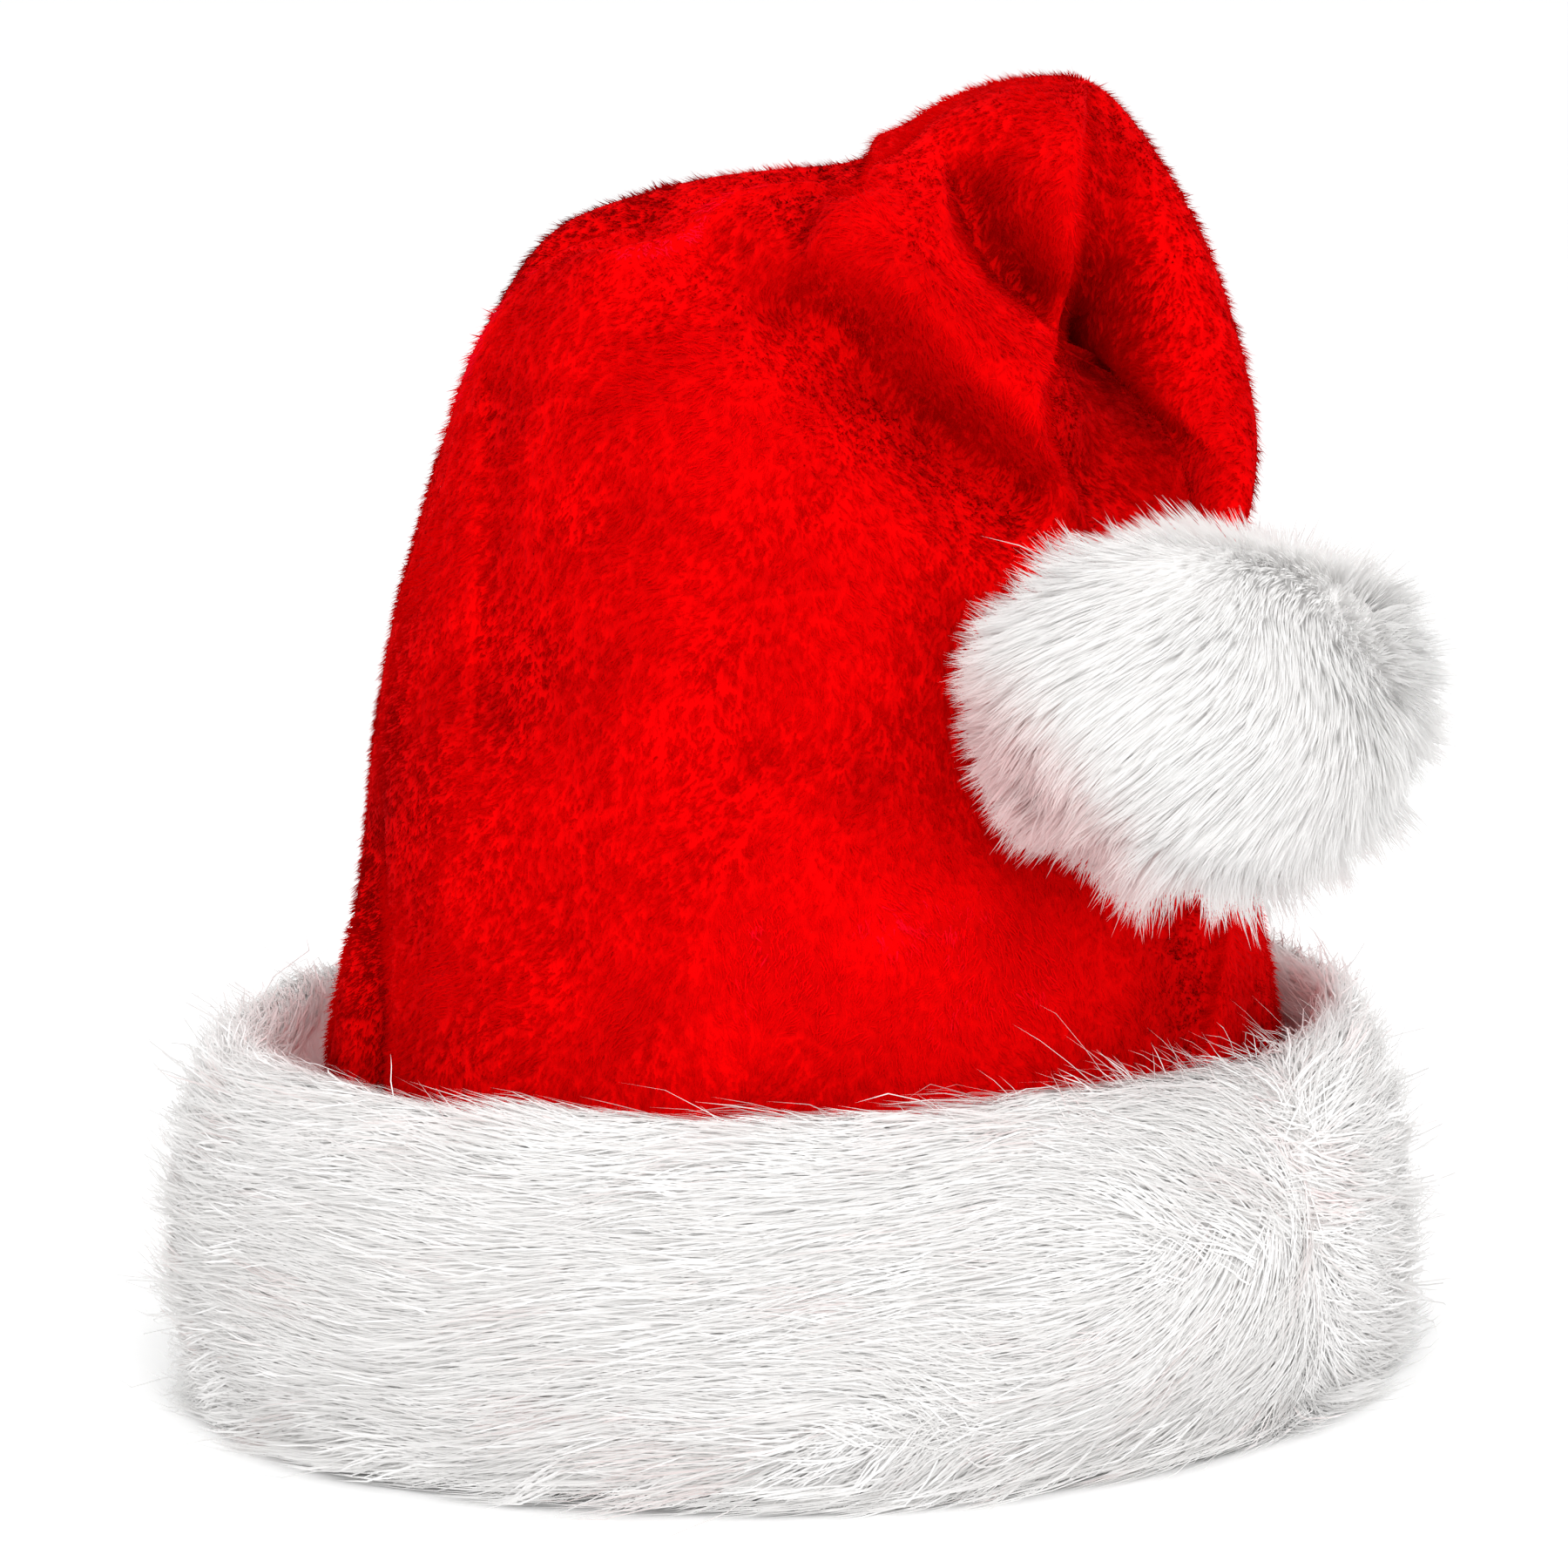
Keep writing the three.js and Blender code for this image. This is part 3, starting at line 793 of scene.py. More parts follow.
@dataclass
class Crown:
    """The soft red crown: its cloth and its brushed pile.

    Attributes:
        wall: The cloth's thickness.
        flat: Width and length of the cut cloth, in metres: two rounded gores side by side. Not used.
        flat_area: The gores' area, in square metres. Not used.
        fineness: The cloth has finer faces this close to a fold's line.
        inside_share: The share of faces that the inside, which hardly shows, keeps.
        hidden_below: The pile ends here, behind the cuff.
        pile_count: Hairs of the pile.
        pile_length: Their usual length.
        pile_width: Half their usual width.
        pile_clump: Hairs that lean together.
        pile_lean: How far they lean over, in degrees.
        pile_root: How deep in the cloth they start.
        pile_gather: How far a clump's tips close up.
        nap: The way they are brushed.
        folds: Folds that are crisper than in the solid, which also paint shade and highlight into the
            pile.
        patches: Patches with painted shade or painted highlight in the pile, darker or lighter.
    """

    wall: float = 2.3
    flat: tuple[float, float] = (0.62, 0.44)
    flat_area: float = 0.136
    fineness: float = 11.0
    inside_share: float = 0.10
    hidden_below: float = 56.0
    pile_count: int = 176000
    pile_length: float = 2.6
    pile_width: float = 0.25
    pile_clump: int = 12
    pile_lean: float = 58.0
    pile_root: float = 0.3
    pile_gather: float = 0.35
    nap: Way = (-0.35, 0.0, -1.0)
    folds: tuple[Fold, ...] = CROWN_FOLDS
    patches: tuple[PaintedLightPatch, ...] = PAINTED_LIGHT_PATCHES
    cloth: Object | None = None
    pieces: list[Object] = field(default_factory=list)

    def build(self, solid: Object, hem: Array) -> None:
        """Make the crown's meshes.

        Args:
            solid: The crown's solid.
            hem: The middle of the hem, in millimetres.
        """
        self.cloth = self._outer_face(solid)
        self._refine(hem)
        places, facing = points_of(self.cloth), read_points(self.cloth, "normal")
        moved = places.copy()
        for fold in self.folds:
            moved += fold.sink(places - hem, facing)
        place_points(self.cloth, moved)
        with editing(self.cloth):
            bpy.ops.mesh.vertices_smooth(factor=0.35, repeat=2)
        pile = self._pile(hem, np.random.default_rng(11))
        outer = len(self.cloth.data.polygons)
        apply_modifier(self.cloth, "SOLIDIFY", thickness=self.wall * MM, offset=-1.0)
        inner = np.arange(len(self.cloth.data.polygons)) >= outer
        with editing(self.cloth, inner):
            bpy.ops.mesh.decimate(ratio=self.inside_share)
        self.pieces = [self.cloth, pile]

    def _outer_face(self, solid: Object) -> Object:
        """Copy the solid's outer face and smooth it.

        Args:
            solid: The crown's solid.

        Returns:
            The outer face of the crown, open at the hem.
        """
        cloth = bpy.data.objects.new("crown_cloth", solid.data.copy())
        bpy.context.scene.collection.objects.link(cloth)
        with editing(cloth):
            bpy.ops.mesh.remove_doubles(threshold=DOUBLES)
        heights = points_of(cloth)[:, 2]
        rim_top = heights.min() + 0.5
        rim = [max(heights[list(face.vertices)]) < rim_top for face in cloth.data.polygons]
        with editing(cloth, np.array(rim)):
            bpy.ops.mesh.delete(type="FACE")
        heights = points_of(cloth)[:, 2]
        with editing(cloth, np.arange(len(heights)) == heights.argmax(), Part.POINTS):
            bpy.ops.mesh.select_linked()
            bpy.ops.mesh.select_all(action="INVERT")
            bpy.ops.mesh.delete(type="VERT")
            bpy.ops.mesh.select_all(action="SELECT")
            bpy.ops.mesh.tris_convert_to_quads(face_threshold=1.2, shape_threshold=1.2)
        bpy.ops.object.shade_smooth()
        apply_modifier(cloth, "SUBSURF", levels=2, render_levels=2)
        cloth.data.materials.clear()
        return cloth

    def _refine(self, hem: Array) -> None:
        """Give the cloth finer faces along its folds.

        Args:
            hem: The middle of the hem, in millimetres.
        """
        places, facing = points_of(self.cloth) - hem, read_points(self.cloth, "normal")
        close = np.zeros(len(places), bool)
        for fold in self.folds:
            close |= fold.near(places, facing, self.fineness)
        chosen = [close[list(face.vertices)].any() for face in self.cloth.data.polygons]
        with editing(self.cloth, np.array(chosen)):
            bpy.ops.mesh.subdivide(number_cuts=1, smoothness=0.0)

    def _pile(self, hem: Array, rng: np.random.Generator) -> Object:
        """Grow short leaning hairs over the cloth.

        Args:
            hem: The middle of the hem.
            rng: The source of random numbers.

        Returns:
            The hairs as one piece.
        """
        found = Sampled.on(self.cloth, int(self.pile_count * 1.6), rng)
        found = found.keep(found.place[:, 2] > self.hidden_below)
        found = found.keep(np.arange(len(found.place)) < self.pile_count)
        number, place, outward = len(found.place), found.place, found.normal
        guides = place[rng.choice(number, number // self.pile_clump, replace=False)]
        owner = nearest_of(guides, place)
        brush = SoftNoise(3, 38.0).at(place)
        swirl = SoftNoise(5, 13.0).at(guides)[owner]
        down = np.tile(np.array(self.nap), (number, 1))
        nap = unit(down - outward * (down * outward).sum(1, keepdims=True))
        nap = rotate_about(nap, outward, 0.7 * brush + 0.4 * swirl + rng.normal(0, 0.3, number))
        lean_deg = np.clip(rng.normal(self.pile_lean, 9, number) + 6.0 * brush, 25, 78)
        lean = np.radians(lean_deg)[:, None]
        way = outward * np.cos(lean) + nap * np.sin(lean)
        clump = rng.normal(0, 1, len(guides))[owner]
        reach = self.pile_length * (0.7 + 0.6 * rng.random(number)) * (1.0 + 0.1 * clump)
        root = place - self.pile_root * outward
        tip = root + way * reach[:, None] + self.pile_gather * (guides[owner] - place)
        rise = unit(outward * np.sin(lean) - nap * np.cos(lean))
        roll = np.clip(np.tan(rng.normal(0, 0.12, (number, 1))), -0.8, 0.8)
        facing = unit(outward + roll * unit(np.cross(way, outward)) + 0.15 * nap)
        width = self.pile_width * (0.75 + 0.5 * rng.random((number, 1))) * np.array([[1.0, 0.0]])
        tone = 0.5 + 0.10 * SoftNoise(8, 24.0).at(place) + 0.025 * clump
        # painted shade and painted highlights from the patches and the folds
        for shading in (*self.patches, *self.folds):
            tone += shading.shade(place - hem, outward)
        tone = np.clip(tone + rng.normal(0, 0.03, number), 0.02, 0.98)
        line = np.stack([root, tip], axis=1)
        rises, normals = (np.repeat(ways[:, None], 2, 1) for ways in (rise, facing))
        return Strands(line, rises, normals, width, tone).mesh("crown_pile")

    def dress(self) -> None:
        """Give the pieces their finishes, hide the solid they replace and attach the pieces to the body.
        """
        for piece, finish in zip(self.pieces, (RED_CLOTH, RED_PILE)):
            piece.data.materials.append(finish.material())
        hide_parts("crown")
        hand_over(self.pieces)


@dataclass
class CuffShape:
    """The cuff's round surface, where its hair grows.

    Attributes:
        hem_radius: The crown's radius at its hem.
        hair_radius: Where the hair is laid out flat, out from the hem circle.
        depth_share: Front to back against side to side.
        rows: Corners of the section's outer line, out from the hem circle and up from the floor.
        inner_rows: Corners of the rest of the section, down the inside.
        bulges: Soft bulges, by their angle and spread in degrees and their swell.
        hangs_below: The height below which hair hangs straight on.
        hem: The middle of the hem.
    """

    hem_radius: float = 99.1
    hair_radius: float = 28.0
    depth_share: float = 0.985
    rows: Line = (
        (17.0, 1.0), (23.5, 5.0), (27.0, 17.0), (27.3, 36.0), (25.2, 53.0),
        (21.0, 65.5), (15.8, 73.0), (11.5, 72.0), (8.8, 63.0),
    )
    inner_rows: Line = ((4.5, 42.0), (0.8, 20.0), (0.8, 4.0), (4.0, 1.0))
    bulges: tuple[Way, ...] = (
        (355.0, 26.0, -1.5), (300.0, 20.0, -2.0), (200.0, 34.0, 4.5), (95.0, 34.0, 2.0),
        (45.0, 18.0, -2.0),
    )
    hangs_below: float = 14.0
    hem: Array = field(default_factory=lambda: np.zeros(3))

    def __post_init__(self) -> None:
        """Draw a smooth line through the rows and measure it."""
        rows = np.array(self.rows)
        ghost = np.vstack([2 * rows[0] - rows[1], rows, 2 * rows[-1] - rows[-2]])
        points = []
        for index in range(1, len(ghost) - 2):
            p0, p1, p2, p3 = ghost[index - 1 : index + 3]
            a, b = (p2 - p0) / 2.0, (p3 - p1) / 2.0
            for t in np.linspace(0.0, 1.0, 24, endpoint=False):
                cubic = (2 * (p1 - p2) + a + b) * t**3 + (3 * (p2 - p1) - 2 * a - b) * t**2
                points.append(cubic + a * t + p1)
        self.curve = np.vstack([points, rows[-1:]])
        steps = np.linalg.norm(np.diff(self.curve, axis=0), axis=1)
        self.along = np.concatenate([[0.0], np.cumsum(steps)])
        self.tangent = unit(np.gradient(self.curve, axis=0))
        self.outward = np.stack([self.tangent[:, 1], -self.tangent[:, 0]], axis=1)
        self.length = float(self.along[-1])
        self.radius = self.hem_radius + self.hair_radius
        self.first_straight = self.height_place(self.hangs_below)

    def height_place(self, up: float) -> float:
        """Find the place along the section at a height on the outer face."""
        crest = int(self.curve[:, 1].argmax())
        return float(np.interp(up, self.curve[:crest, 1], self.along[:crest]))

    def swollen(self, angle: Array, out: Array) -> Array:
        """Find the radius of the bulging surface.

        Args:
            angle: Angles round the cuff, in radians.
            out: Distances out from the hem circle.

        Returns:
            A radius for each place.
        """
        swell = np.zeros_like(angle)
        for at_deg, spread, size in self.bulges:
            swell += size * fade((np.degrees(angle) - at_deg + 180.0) % 360.0 - 180.0, spread)
        return self.hem_radius + out + swell * ramp(6.0, 26.0, out)

    def spot(
        self, angle: Array, place: Array, lift: Array, leaves: Array | float
    ) -> tuple[Array, Array]:
        """Find places on or above the surface.

        Args:
            angle: Angles round the cuff, in radians.
            place: Places along the section. Before its start and past the end they run straight on.
            lift: Heights above the surface.
            leaves: The places where hair leaves the section and runs straight on.

        Returns:
            The places in millimetres and the surface's normals.
        """
        held = np.clip(place, self.first_straight, leaves)
        over = place - held
        columns = (*self.curve.T, *self.outward.T, *self.tangent.T)
        parts = [np.interp(held, self.along, column) for column in columns]
        out, up, out_way, up_way, out_run, up_run = parts
        out = out + out_run * over + out_way * lift
        up = up + up_run * over + up_way * lift
        turned = np.stack([np.cos(angle), self.depth_share * np.sin(angle)], axis=-1)
        place_xy = turned * self.swollen(angle, out)[..., None] + self.hem[:2]
        normal = np.concatenate([turned * out_way[..., None], up_way[..., None]], axis=-1)
        return np.concatenate([place_xy, up[..., None]], axis=-1), unit(normal)


@dataclass(frozen=True)
class HairLayer:
    """One layer of the cuff's hair.

    Attributes:
        piece: The piece's name.
        count: How many hairs.
        length: Their usual length.
        height: How high their tips stand.
        half_width: Half their width.
        gather: How far the hairs of a clump close up towards their tips.
    """

    piece: str
    count: int
    length: float
    height: float
    half_width: float
    gather: float


@dataclass
class FurCuff:
    """The deep fur cuff: its padded strip, its underfur and its long hair.

    Attributes:
        shape: The surface that the hair grows on.
        layers: The hair, from the underfur to the loose wisps on top.
        seam: Corners of the line that the hair runs away from, by angle in degrees and height.
        parting: A spot that the hair turns away from, by angle, height, reach and strength.
        loose_tops: Where hair stands loose on the crest, by angle, spread and share.
        loose_height: The height that loose hair grows at.
        loose_band: How far above and below that height it grows.
        low_roots: How far below the hanging hair's start the lowest roots are.
        overhang: How far hair runs on past the section's end.
        tuft_lift: How much higher a tuft stands.
        tone: Where on the palette the hair lies, streaks apart.
        spin_steps: Steps of the strip's ring.
        clump: Hairs that lie together.
        steps: Points along a hair.
    """

    shape: CuffShape
    layers: tuple[HairLayer, ...] = (
        HairLayer("cuff_underfur", 38000, 17.0, 1.8, 0.21, 0.2),
        HairLayer("cuff_long_fur", 38500, 26.0, 2.5, 0.16, 0.28),
        HairLayer("cuff_wisps", 19000, 30.0, 3.3, 0.12, 0.2),
    )
    seam: Line = ((326.0, 56.0), (323.0, 43.0), (306.0, 43.0))
    parting: tuple[float, float, float, float] = (279.6, 16.0, 16.0, 0.8)
    loose_tops: tuple[Way, ...] = ((317.0, 22.0, 0.18), (20.0, 16.0, 0.15), (163.0, 16.0, 0.15))
    loose_height: float = 70.0
    loose_band: float = 7.0
    low_roots: float = 9.0
    overhang: float = 22.0
    tuft_lift: float = 2.5
    tone: float = 0.86
    spin_steps: int = 60
    clump: int = 14
    steps: int = 4
    strip: Object | None = None
    pieces: list[Object] = field(default_factory=list)

    def build(self) -> None:
        """Make the cuff's meshes."""
        self.strip = self._strip()
        rng = np.random.default_rng(23)
        self.pieces = [self.strip, *(self._grow(layer, rng) for layer in self.layers)]

    def _strip(self) -> Object:
        """Spin the section into a padded ring.

        Returns:
            The ring.
        """
        shape = self.shape
        rows = np.array([*shape.rows, *shape.inner_rows])
        deselect_all()
        bpy.ops.mesh.primitive_circle_add(vertices=len(rows), radius=0.02, fill_type="NGON")
        ring = bpy.context.object
        ring.name = ring.data.name = "cuff_strip"
        places = np.zeros((len(rows), 3))
        places[:, 0] = shape.hem_radius + rows[:, 0]
        places[:, 2] = rows[:, 1]
        place_points(ring, places)
        with editing(ring):
            bpy.ops.mesh.delete(type="ONLY_FACE")
            bpy.ops.mesh.select_all(action="SELECT")
            bpy.ops.mesh.spin(
                steps=self.spin_steps, angle=FULL_TURN, center=(0.0, 0.0, 0.0), axis=(0.0, 0.0, 1.0)
            )
            bpy.ops.mesh.select_all(action="SELECT")
            bpy.ops.mesh.remove_doubles(threshold=DOUBLES)
            bpy.ops.mesh.normals_make_consistent(inside=False)
        bpy.ops.object.shade_smooth()
        apply_modifier(ring, "SUBSURF", levels=1, render_levels=1)
        places = points_of(ring)
        angle = np.arctan2(places[:, 1], places[:, 0])
        out = np.hypot(places[:, 0], places[:, 1]) - shape.hem_radius
        radius = shape.swollen(angle, out)
        places[:, 0] = radius * np.cos(angle) + shape.hem[0]
        places[:, 1] = radius * shape.depth_share * np.sin(angle) + shape.hem[1]
        place_points(ring, places)
        return ring

    def flow(self, angle: Array, place: Array) -> Array:
        """Look up the way the hair lies.

        Args:
            angle: Angles round the cuff, in radians.
            place: Places along the section.

        Returns:
            Unit steps round the cuff and along the section.
        """
        radius = self.shape.radius
        turn, away, gap = self._from_seam(angle, place)
        far = ramp(2.4, 3.1, np.abs(turn))
        step = 0.7 * unit(gap) * fade(away, 27.0)[:, None]
        step[:, 0] += np.tanh(turn * radius / 18.0) * (1.0 - far)
        step[:, 1] -= 0.05 + far + 0.5 * fade(place, 11.0)
        at_deg, up, reach, strength = self.parting
        away = turned_from(angle, math.radians(at_deg))
        gap = np.stack([away * radius, place - self.shape.height_place(up)], axis=-1)
        size = np.linalg.norm(gap, axis=-1, keepdims=True)
        return unit(unit(step) + strength * fade(size, reach) * gap / np.maximum(size, 1.0))

    def _from_seam(self, angle: Array, place: Array) -> tuple[Array, Array, Array]:
        """Measure how far places are from the seam on the unrolled cuff.

        Args:
            angle: Angles round the cuff, in radians.
            place: Places along the section.

        Returns:
            Angles from the seam's second corner, distances from the seam and the steps from it.
        """
        radius = self.shape.radius
        middle = math.radians(self.seam[1][0])
        turn = turned_from(angle, middle)
        seam = tuple(
            ((math.radians(at_deg) - middle) * radius, self.shape.height_place(up))
            for at_deg, up in self.seam
        )
        away, _, gap = distance_to_line(turn * radius, place, seam)
        return turn, np.abs(away), gap

    def _grow(self, layer: HairLayer, rng: np.random.Generator) -> Object:
        """Grow a layer of hair that lies along the cuff's surface.

        Args:
            layer: The layer's sizes.
            rng: The source of random numbers.

        Returns:
            The hair as one piece.
        """
        shape, count, radius = self.shape, layer.count, self.shape.radius
        low, high = shape.first_straight - self.low_roots, shape.length

        # roots, in clumps round guides
        angle = rng.uniform(0.0, FULL_TURN, count)
        place = rng.uniform(low, high, count)
        guides = count // self.clump
        guide_angle = rng.uniform(0.0, FULL_TURN, guides)
        guide_place = rng.uniform(low, high, guides)
        flat = np.stack([guide_angle * radius, guide_place, np.zeros(guides)], axis=1)
        owner = nearest_of(flat, np.stack([angle * radius, place, np.zeros(count)], axis=1))
        pull = np.stack([(guide_angle[owner] - angle) * radius, guide_place[owner] - place], axis=1)
        spot, _ = shape.spot(angle, place, np.zeros(count), shape.length)

        # how far the hairs reach, stand up and stray
        turn = rng.normal(0.0, 0.08, guides)[owner] + rng.normal(0.0, 0.06, count)
        clump_lift = rng.normal(0.0, 1.0, guides)[owner]
        clump_tone = rng.normal(0.0, 1.0, guides)[owner]
        reach = layer.length * np.clip(rng.normal(1.0, 0.2, count), 0.45, 1.4)
        lift = layer.height * np.clip(rng.normal(0.75, 0.2, count) + 0.07 * clump_lift, 0.15, 1.3)
        lift *= np.where(rng.random(count) < 0.05, 2.0, 1.0)
        edge_on = ramp(0.8, 1.0, np.abs(np.cos(angle)))
        low_edge = 1.0 - ramp(shape.height_place(6.0), shape.height_place(16.0), place)
        tufted = rng.random(guides)[owner] < 0.02 + 0.16 * edge_on + 0.25 * low_edge
        lift *= np.where(tufted, self.tuft_lift, 1.0)
        share = np.full(count, 0.002)
        for at_deg, spread, most in self.loose_tops:
            share += most * fade(np.degrees(angle) - at_deg, spread)
        crest = shape.height_place(self.loose_height)
        loose = (rng.random(count) < share) & (np.abs(place - crest) < self.loose_band)
        crest_end = shape.height_place(self.loose_height + 1.0)
        leaves = np.where(loose, np.minimum(place, crest_end) + 2.0, shape.length)
        reach = np.where(loose, reach * rng.uniform(0.25, 0.7, count), reach)
        astray = rng.normal(-0.2, 0.4, count) + 0.7
        upwards = np.stack([-np.cos(astray), np.sin(astray)], axis=1)
        stray = rng.normal(0.0, 3.0, (2, count)) + rng.normal(0.0, 4.0, (2, guides))[:, owner]
        turn = turn + SoftNoise(31, 46.0).at(spot) * 0.14
        cosine, sine = np.cos(turn), np.sin(turn)
        sway = rng.uniform(0.0, FULL_TURN, count)

        # the hairs' lines, step by step from root to tip
        along_hair = np.linspace(0.0, 1.0, self.steps)
        at_angle, at_place = angle.copy(), place.copy()
        lines, rises = [], []
        for step, t in enumerate(along_hair):
            if step:
                way = self.flow(at_angle + stray[0] / radius, at_place + stray[1])
                a, b = np.where(loose[:, None], upwards, way).T
                at_angle = at_angle + (a * cosine - b * sine) * reach / (self.steps - 1) / radius
                at_place = at_place + (a * sine + b * cosine) * reach / (self.steps - 1)
            gather = layer.gather * t**1.5
            wave = 0.7 * t * np.sin(4.0 * t + sway)
            here_angle = at_angle + (gather * pull[:, 0] + wave * 0.4) / radius
            here_place = np.minimum(at_place + gather * pull[:, 1] + wave, leaves + self.overhang)
            up = lift * (1.0 - (1.0 - t) ** 2) - 0.6 * (1.0 - t)
            place_now, normal = shape.spot(here_angle, here_place, up, leaves)
            lines.append(place_now)
            rises.append(normal)
        line, rise = np.stack(lines, axis=1), np.stack(rises, axis=1)
        wavy = 1.3 * SoftNoise(33, 26.0).at(spot)[:, None]
        line[:, :, 2] += wavy * ramp(48.0, 72.0, line[:, :, 2])
        least_height = 0.3 + 1.4 * rng.random(count) + 5.0 * rng.random(guides)[owner] ** 3
        line = self._kept_clear(line, least_height)

        # how they take the light
        roll = np.tan(np.clip(rng.normal(0.0, 0.08, count), -0.9, 0.9))[:, None, None]
        across = unit(np.cross(unit(np.gradient(line, axis=1)), rise))
        rolled = unit(rise + roll * across)
        width = layer.half_width * (0.8 + 0.45 * rng.random((count, 1))) * np.sqrt(1.0 - along_hair**2)
        width *= np.where(loose, 0.65, 1.0)[:, None]
        streaks = np.where(rng.random(guides) < 0.05, 0.30, 0.0)[owner]
        from_seam, seam_gap, _ = self._from_seam(angle, place)
        streaks += 0.25 * fade(seam_gap, 3.0) * ramp(-8.0, -1.0, from_seam * radius)
        streaks += np.where(loose, 0.3, 0.0)
        tone = self.tone - streaks + 0.04 * clump_tone + rng.normal(0.0, 0.04, count)
        return Strands(line, rolled, rolled, width, np.clip(tone, 0.02, 0.98)).mesh(layer.piece)

    def _kept_clear(self, line: Array, least_height: Array) -> Array:
        """Keep hair off the floor and out of the crown.

        Args:
            line: Points of the hairs.
            least_height: How high above the floor each hair stays.

        Returns:
            The points, moved where they have to be.
        """
        line = line.copy()
        sunk = np.maximum(least_height[:, None] - line[:, :, 2], 0.0)
        line[:, :, 2] += sunk
        flat = line[:, :, :2] - self.shape.hem[:2]
        flat = flat + 0.5 * sunk[..., None] * unit(flat)
        size = np.hypot(flat[..., 0], flat[..., 1] / self.shape.depth_share)
        crown_heights, crown_radii = (0.0, 71.0, 96.0, 124.0), (99.5, 102.2, 98.0, 96.0)
        least = np.interp(line[:, :, 2], crown_heights, crown_radii)
        kept = 0.5 * (size + least + np.hypot(size - least, 2.0))
        line[:, :, :2] = self.shape.hem[:2] + flat * (kept / size)[..., None]
        return line

    def dress(self) -> None:
        """Give the pieces their finishes, hide the solid they replace and attach the pieces to the body.
        """
        fur = CUFF_FUR.material()
        finishes = (WHITE_CLOTH.material(), UNDER_FUR.material(), fur, fur)
        for piece, finish in zip(self.pieces, finishes):
            piece.data.materials.append(finish)
        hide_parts("fur_cuff")
        hand_over(self.pieces)


